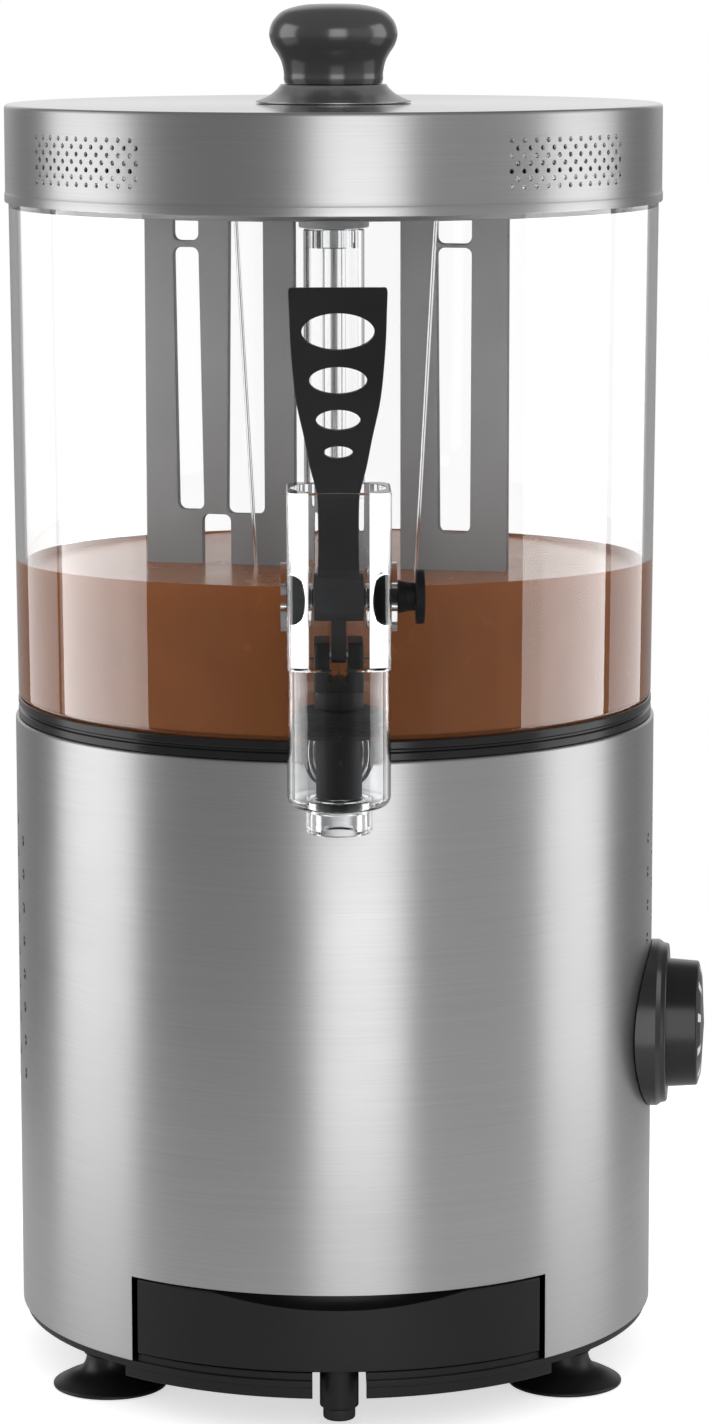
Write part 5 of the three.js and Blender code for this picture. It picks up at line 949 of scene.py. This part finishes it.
def stirrer():
    """The grey hub, its two slotted wings and the bottom ring, with the bright wires."""
    hub = lathe(rounded([(0, 404.3), (38, 404.3, 0.8), (38, 407.7, 0.8), (0, 407.7)]), 96)
    cut(hub, prism(rounded_box(63.65, 7, 3, (-2.95, 0)), 404.4, 407.6), "UNION")
    boss = lathe(rounded([(0, 392.5), (12, 392.5, 0.6), (12, 412.7, 1.2), (0, 412.7)]), 64)
    cut(hub, boss, "UNION")
    cut(hub, box((-3.1, 3.1), (-3.1, 3.1), (390, 404.5)))
    fit(move(hub, turn=STIRRER_TURN), "stirrer_head", GREY, "stirrer", "stirrer_hub")
    low, tall = 230.5, 173.5
    left_windows = [(-36.39, -24.62, 0.366, 0.972, -1.2, 0.3), (-56.32, -47.41, 0.372, 0.892, 1.2, 1.5)]
    left_windows += [(-56.32, -47.41, 0.905, 0.972, 0, 0), (-46.46, -36.39, 0.245, 0.3635, 0, 0)]
    right_windows = [(36.19, 48.09, 0.339, 0.897, 0.8, -0.4), (36.19, 48.09, 0.905, 0.972, 0, 0)]
    wings = (("left", -66.6, -13.6, left_windows), ("right", 23.4, 60.7, right_windows))
    for name, inner, outer, windows in wings:
        middle = (inner + outer) / 2
        outline = rounded_box((outer - inner) / 2, tall / 2, 2.5, (middle, low + tall / 2))
        plate = prism(outline, -1.7, 1.7, "Y")
        # A window's bottom corners lie aside from its top corners by the last two numbers.
        for left, right, start, end, left_shift, right_shift in windows:
            bottom, top = low + start * tall, low + end * tall
            middle = (left + right) / 2
            centre = (middle, (bottom + top) / 2)
            points = rounded_box((right - left) / 2, (top - bottom) / 2, 2.4, centre)
            leaning = []
            for x, z in points:
                shift = left_shift if x < middle else right_shift
                leaning.append((x + shift * (top - z) / (top - bottom), z))
            cut(plate, prism(leaning, -6, 6, "Y"))
        soften(plate, 1.3, 40, 4)
        node = "stirrer_paddle_" + name
        fit(move(plate, turn=STIRRER_TURN), name + "_wing", WING, "stirrer", node)
    corners = [(10.9, 227.2), (31.5, 227.2, 0.8), (31.5, 230.2, 0.8), (10.9, 230.2)]
    ring = move(lathe(rounded(corners), 96, closed=True), turn=STIRRER_TURN)
    fit(ring, "stirrer_foot", GREY, "stirrer", "stirrer_bottom_ring")
    for side, name in ((-1, "left"), (1, "right")):
        foot = Vector((side * 25.6 + 1.4, -4, 230.5))
        rise = Vector((side * 35.3 + 1.4, -4, 404)) - foot
        wire = lathe(rounded([(0, 0), (0.7, 0, 0.3), (0.7, rise.length, 0.3), (0, rise.length)]), 20)
        move(wire, *foot, (0, math.degrees(math.atan2(rise.x, rise.z)), 0))
        node = "stirrer_wire_" + name
        fit(move(wire, turn=STIRRER_TURN), "wire_" + name, WIRE, "stirrer", node)


def shaft():
    """The drive shaft with its square end and a chamfer at its foot."""
    bar = lathe(rounded([(0, 129.5), (4, 129.5, 0.6), (4, 392, 0.4), (0, 392)]), 48)
    cut(bar, prism(rounded_box(2.8, 2.8, 0.4), 391, 404), "UNION")
    fit(move(bar, turn=STIRRER_TURN), "stirrer_shaft", WIRE, "drive", "drive_shaft")


# What stays as it was packed, by its real finish
KEPT = (
    (BRIGHT, ("bath_tank", "heating_element", "thermostat_shaft", "knob_screw", "lever_cam_pin")),
    (ZINC, ("support_post_rear", "support_post_left", "support_post_right", "deck_plate")),
    (ZINC, ("gearbox_housing", "gearbox_cover", "motor_body", "thermostat_body")),
    (BRASS, ("thermostat_bulb", "lower_shaft_bush", "upper_shaft_bush", "motor_pinion")),
    (WHITE, ("drive_gear", "terminal_block")),
    (TAP_CLEAR, ("column_bush",)),
    (ABS, ("safety_cutout",)),
    (RUBBER, ("lid_seal_ring",)),
)


def dress_kept_nodes():
    """Give the carried-over nodes their finish."""
    for material, names in KEPT:
        for name in names:
            mesh = frame["nodes"][name].data
            mesh.materials.clear()
            mesh.materials.append(material)


# Stage


def camera():
    """The camera that was fitted to the photograph."""
    place = (-14.9, -1552.5, 477.3)
    heading, down, lean = -0.794, 9.212, -0.088
    data = bpy.data.cameras.new("camera")
    data.lens = 114.98
    data.sensor_width = 36
    eye = bpy.data.objects.new("camera", data)
    bpy.context.scene.collection.objects.link(eye)
    turn = Matrix.Identity(4)
    for angle, axis in ((heading, "Z"), (90 - down, "X"), (lean, "Z")):
        turn = turn @ Matrix.Rotation(math.radians(angle), 4, axis)
    eye.matrix_world = Matrix.Translation(Vector(place) * MM) @ turn
    bpy.context.scene.camera = eye


def softbox(name, azimuth, distance, width, low, high, radiance):
    """A tall soft lamp that faces the body's axis. Azimuth is from the front towards the dial."""
    data = bpy.data.lights.new(name, "AREA")
    data.shape = "RECTANGLE"
    data.size = width
    data.size_y = high - low
    data.energy = 4 * width * (high - low) * radiance
    lamp = bpy.data.objects.new(name, data)
    bpy.context.scene.collection.objects.link(lamp)
    turn = math.radians(azimuth)
    lamp.location = (distance * math.sin(turn), -distance * math.cos(turn), (low + high) / 2)
    lamp.rotation_euler = (math.radians(90), 0, turn)
    lamp.visible_camera = False
    lamp.visible_transmission = False
    return lamp


def link_lamp(lamp, names, state):
    """Let a lamp reach only the named pieces, or all but them."""
    group = bpy.data.collections.new(lamp.name + "_pieces")
    for name in names:
        group.objects.link(bpy.data.objects[name])
    for entry in group.collection_objects:
        entry.light_linking.link_state = state
    lamp.light_linking.receiver_collection = group


def lights():
    """Tall lamps in front and beside, as the bands on the steel show, and brighter ones for clear gloss."""
    clear_pieces = ["clear_bowl", "tap_barrel", "lever_washer_left", "lever_washer_right"]
    bottom, lid_height, top = -0.5, 0.44, 1.1
    # The lid's polished top mirrors what is above it, so the lid's own lamps are dimmer there.
    lid_shares = (("_low", bottom, lid_height, 1.35), ("_high", lid_height, top, 0.5))
    main = [
        ("front_lamp", 7.8, 1.3, 0.72, 1.45, clear_pieces + ["pull_lever"]),
        ("left_lamp", -92.5, 1.1, 0.78, 1.16, []),
        ("right_lamp", 91.5, 1.1, 0.66, 1.1, []),
    ]
    for name, azimuth, distance, width, radiance, left_out in main:
        lamp = softbox(name, azimuth, distance, width, bottom, top, radiance)
        link_lamp(lamp, left_out + ["steel_lid"], "EXCLUDE")
        for part, low, high, share in lid_shares:
            lamp = softbox(name + part, azimuth, distance, width, low, high, radiance * share)
            link_lamp(lamp, ["steel_lid"], "INCLUDE")
    softbox("right_fill", 52, 1.3, 0.9, bottom, top, 0.15)
    gleams = [
        ("left_gleam", -89, 0.86, 5.8),
        ("left_rear_gleam", -127, 0.52, 1.4),
        ("right_gleam", 87.5, 0.84, 5.8),
        ("right_rear_gleam", 126, 0.56, 1.6),
    ]
    for name, azimuth, width, radiance in gleams:
        link_lamp(softbox(name, azimuth, 1.1, width, -0.4, top, radiance), clear_pieces, "INCLUDE")


def world():
    """White for the eye and through clear plastic. For gloss it is dim, but bright behind the object."""
    sky = bpy.data.worlds.new("studio")
    bpy.context.scene.world = sky
    sky.use_nodes = True
    tree = sky.node_tree
    tree.nodes.remove(tree.nodes["Background"])
    path = add(tree, "LightPath")
    through = path.outputs["Is Transmission Ray"]
    glossy_depth = path.outputs["Glossy Depth"]
    place = add(tree, "TexCoord")
    parts = add(tree, "SeparateXYZ", {"Vector": place.outputs["Generated"]})
    smooth = {"interpolation_type": "SMOOTHSTEP"}
    # Gloss shows a bright backdrop behind the object and above the table, and dim surroundings.
    behind = add(tree, "MapRange", (parts.outputs["Y"], 0.72, 0.96, 0.0, 1.0), **smooth)
    above = add(tree, "MapRange", (parts.outputs["Z"], -0.03, 0.01, 0.15, 0.6), **smooth)
    backdrop = add(tree, "Math", (behind, above), operation="MULTIPLY")
    gloss = add(tree, "Math", (backdrop, 0.22), operation="ADD")
    # Light that was mirrored inside clear plastic also meets bright sides.
    across = add(tree, "Math", [parts.outputs["X"]], operation="ABSOLUTE")
    beside = add(tree, "MapRange", (across, 0.3, 0.7, 0.0, 1.1), **smooth)
    bent = add(tree, "Math", (beside, through), operation="MULTIPLY")
    strongest = add(tree, "Math", (gloss, bent), operation="MAXIMUM")
    bounced = add(tree, "Math", (glossy_depth, 0.5), operation="GREATER_THAN")
    inside = add(tree, "Math", (through, bounced), operation="MULTIPLY")
    mirrored = add(tree, "Math", (path.outputs["Is Glossy Ray"], inside), operation="MAXIMUM")
    # What the eye sees, straight or through clear plastic, is white.
    depth = add(tree, "Math", (glossy_depth, path.outputs["Diffuse Depth"]), operation="ADD")
    straight = add(tree, "Math", (depth, 0.5), operation="LESS_THAN")
    clear_view = add(tree, "Math", (through, straight), operation="MULTIPLY")
    viewed = add(tree, "Math", (path.outputs["Is Camera Ray"], clear_view), operation="MAXIMUM")
    pure = (1, 1, 1, 1)
    shine = add(tree, "Background", {"Strength": strongest, "Color": pure})
    ambient = add(tree, "Background", {"Strength": 0.68, "Color": pure})
    white = add(tree, "Background", {"Strength": 1.0, "Color": pure})
    unseen = add(tree, "MixShader", (mirrored, ambient, shine))
    outer = add(tree, "MixShader", (viewed, unseen, white))
    feed(tree.nodes["World Output"], {"Surface": outer})


def white_paper(tree):
    """Matt paper that shines for the eye, so that it melts into the white behind."""
    path = add(tree, "LightPath")
    rays = (path.outputs["Is Camera Ray"], path.outputs["Is Transmission Ray"])
    seen = add(tree, "Math", rays, operation="MAXIMUM")
    return {
        "Base Color": (0.75, 0.75, 0.75, 1),
        "Roughness": 0.9,
        "Specular IOR Level": 0.0,
        "Emission Color": (1, 1, 1, 1),
        "Emission Strength": add(tree, "Math", (seen, 0.62), operation="MULTIPLY"),
    }


def floor():
    """A pale disc that keeps the shadow."""
    clear()
    below = (0, 0, -0.0002)
    bpy.ops.mesh.primitive_circle_add(vertices=128, radius=0.42, fill_type="NGON", location=below)
    disc = settle(bpy.context.object)
    disc.name = "floor"
    disc.data.materials.append(made("white_paper", white_paper))


camera()
world()
floor()
bpy.context.scene.view_settings.view_transform = "Standard"

feet()
pan()
shell()
gasket()
dial()
switches()
inlet()
tray()
grid()
drain_plug()
clear_bowl()
drink()
tap()
tap_seal()
pin()
spacers()
lever()
piston()
seal()
lid()
collar()
knob()
stirrer()
shaft()
dress_kept_nodes()
lights()
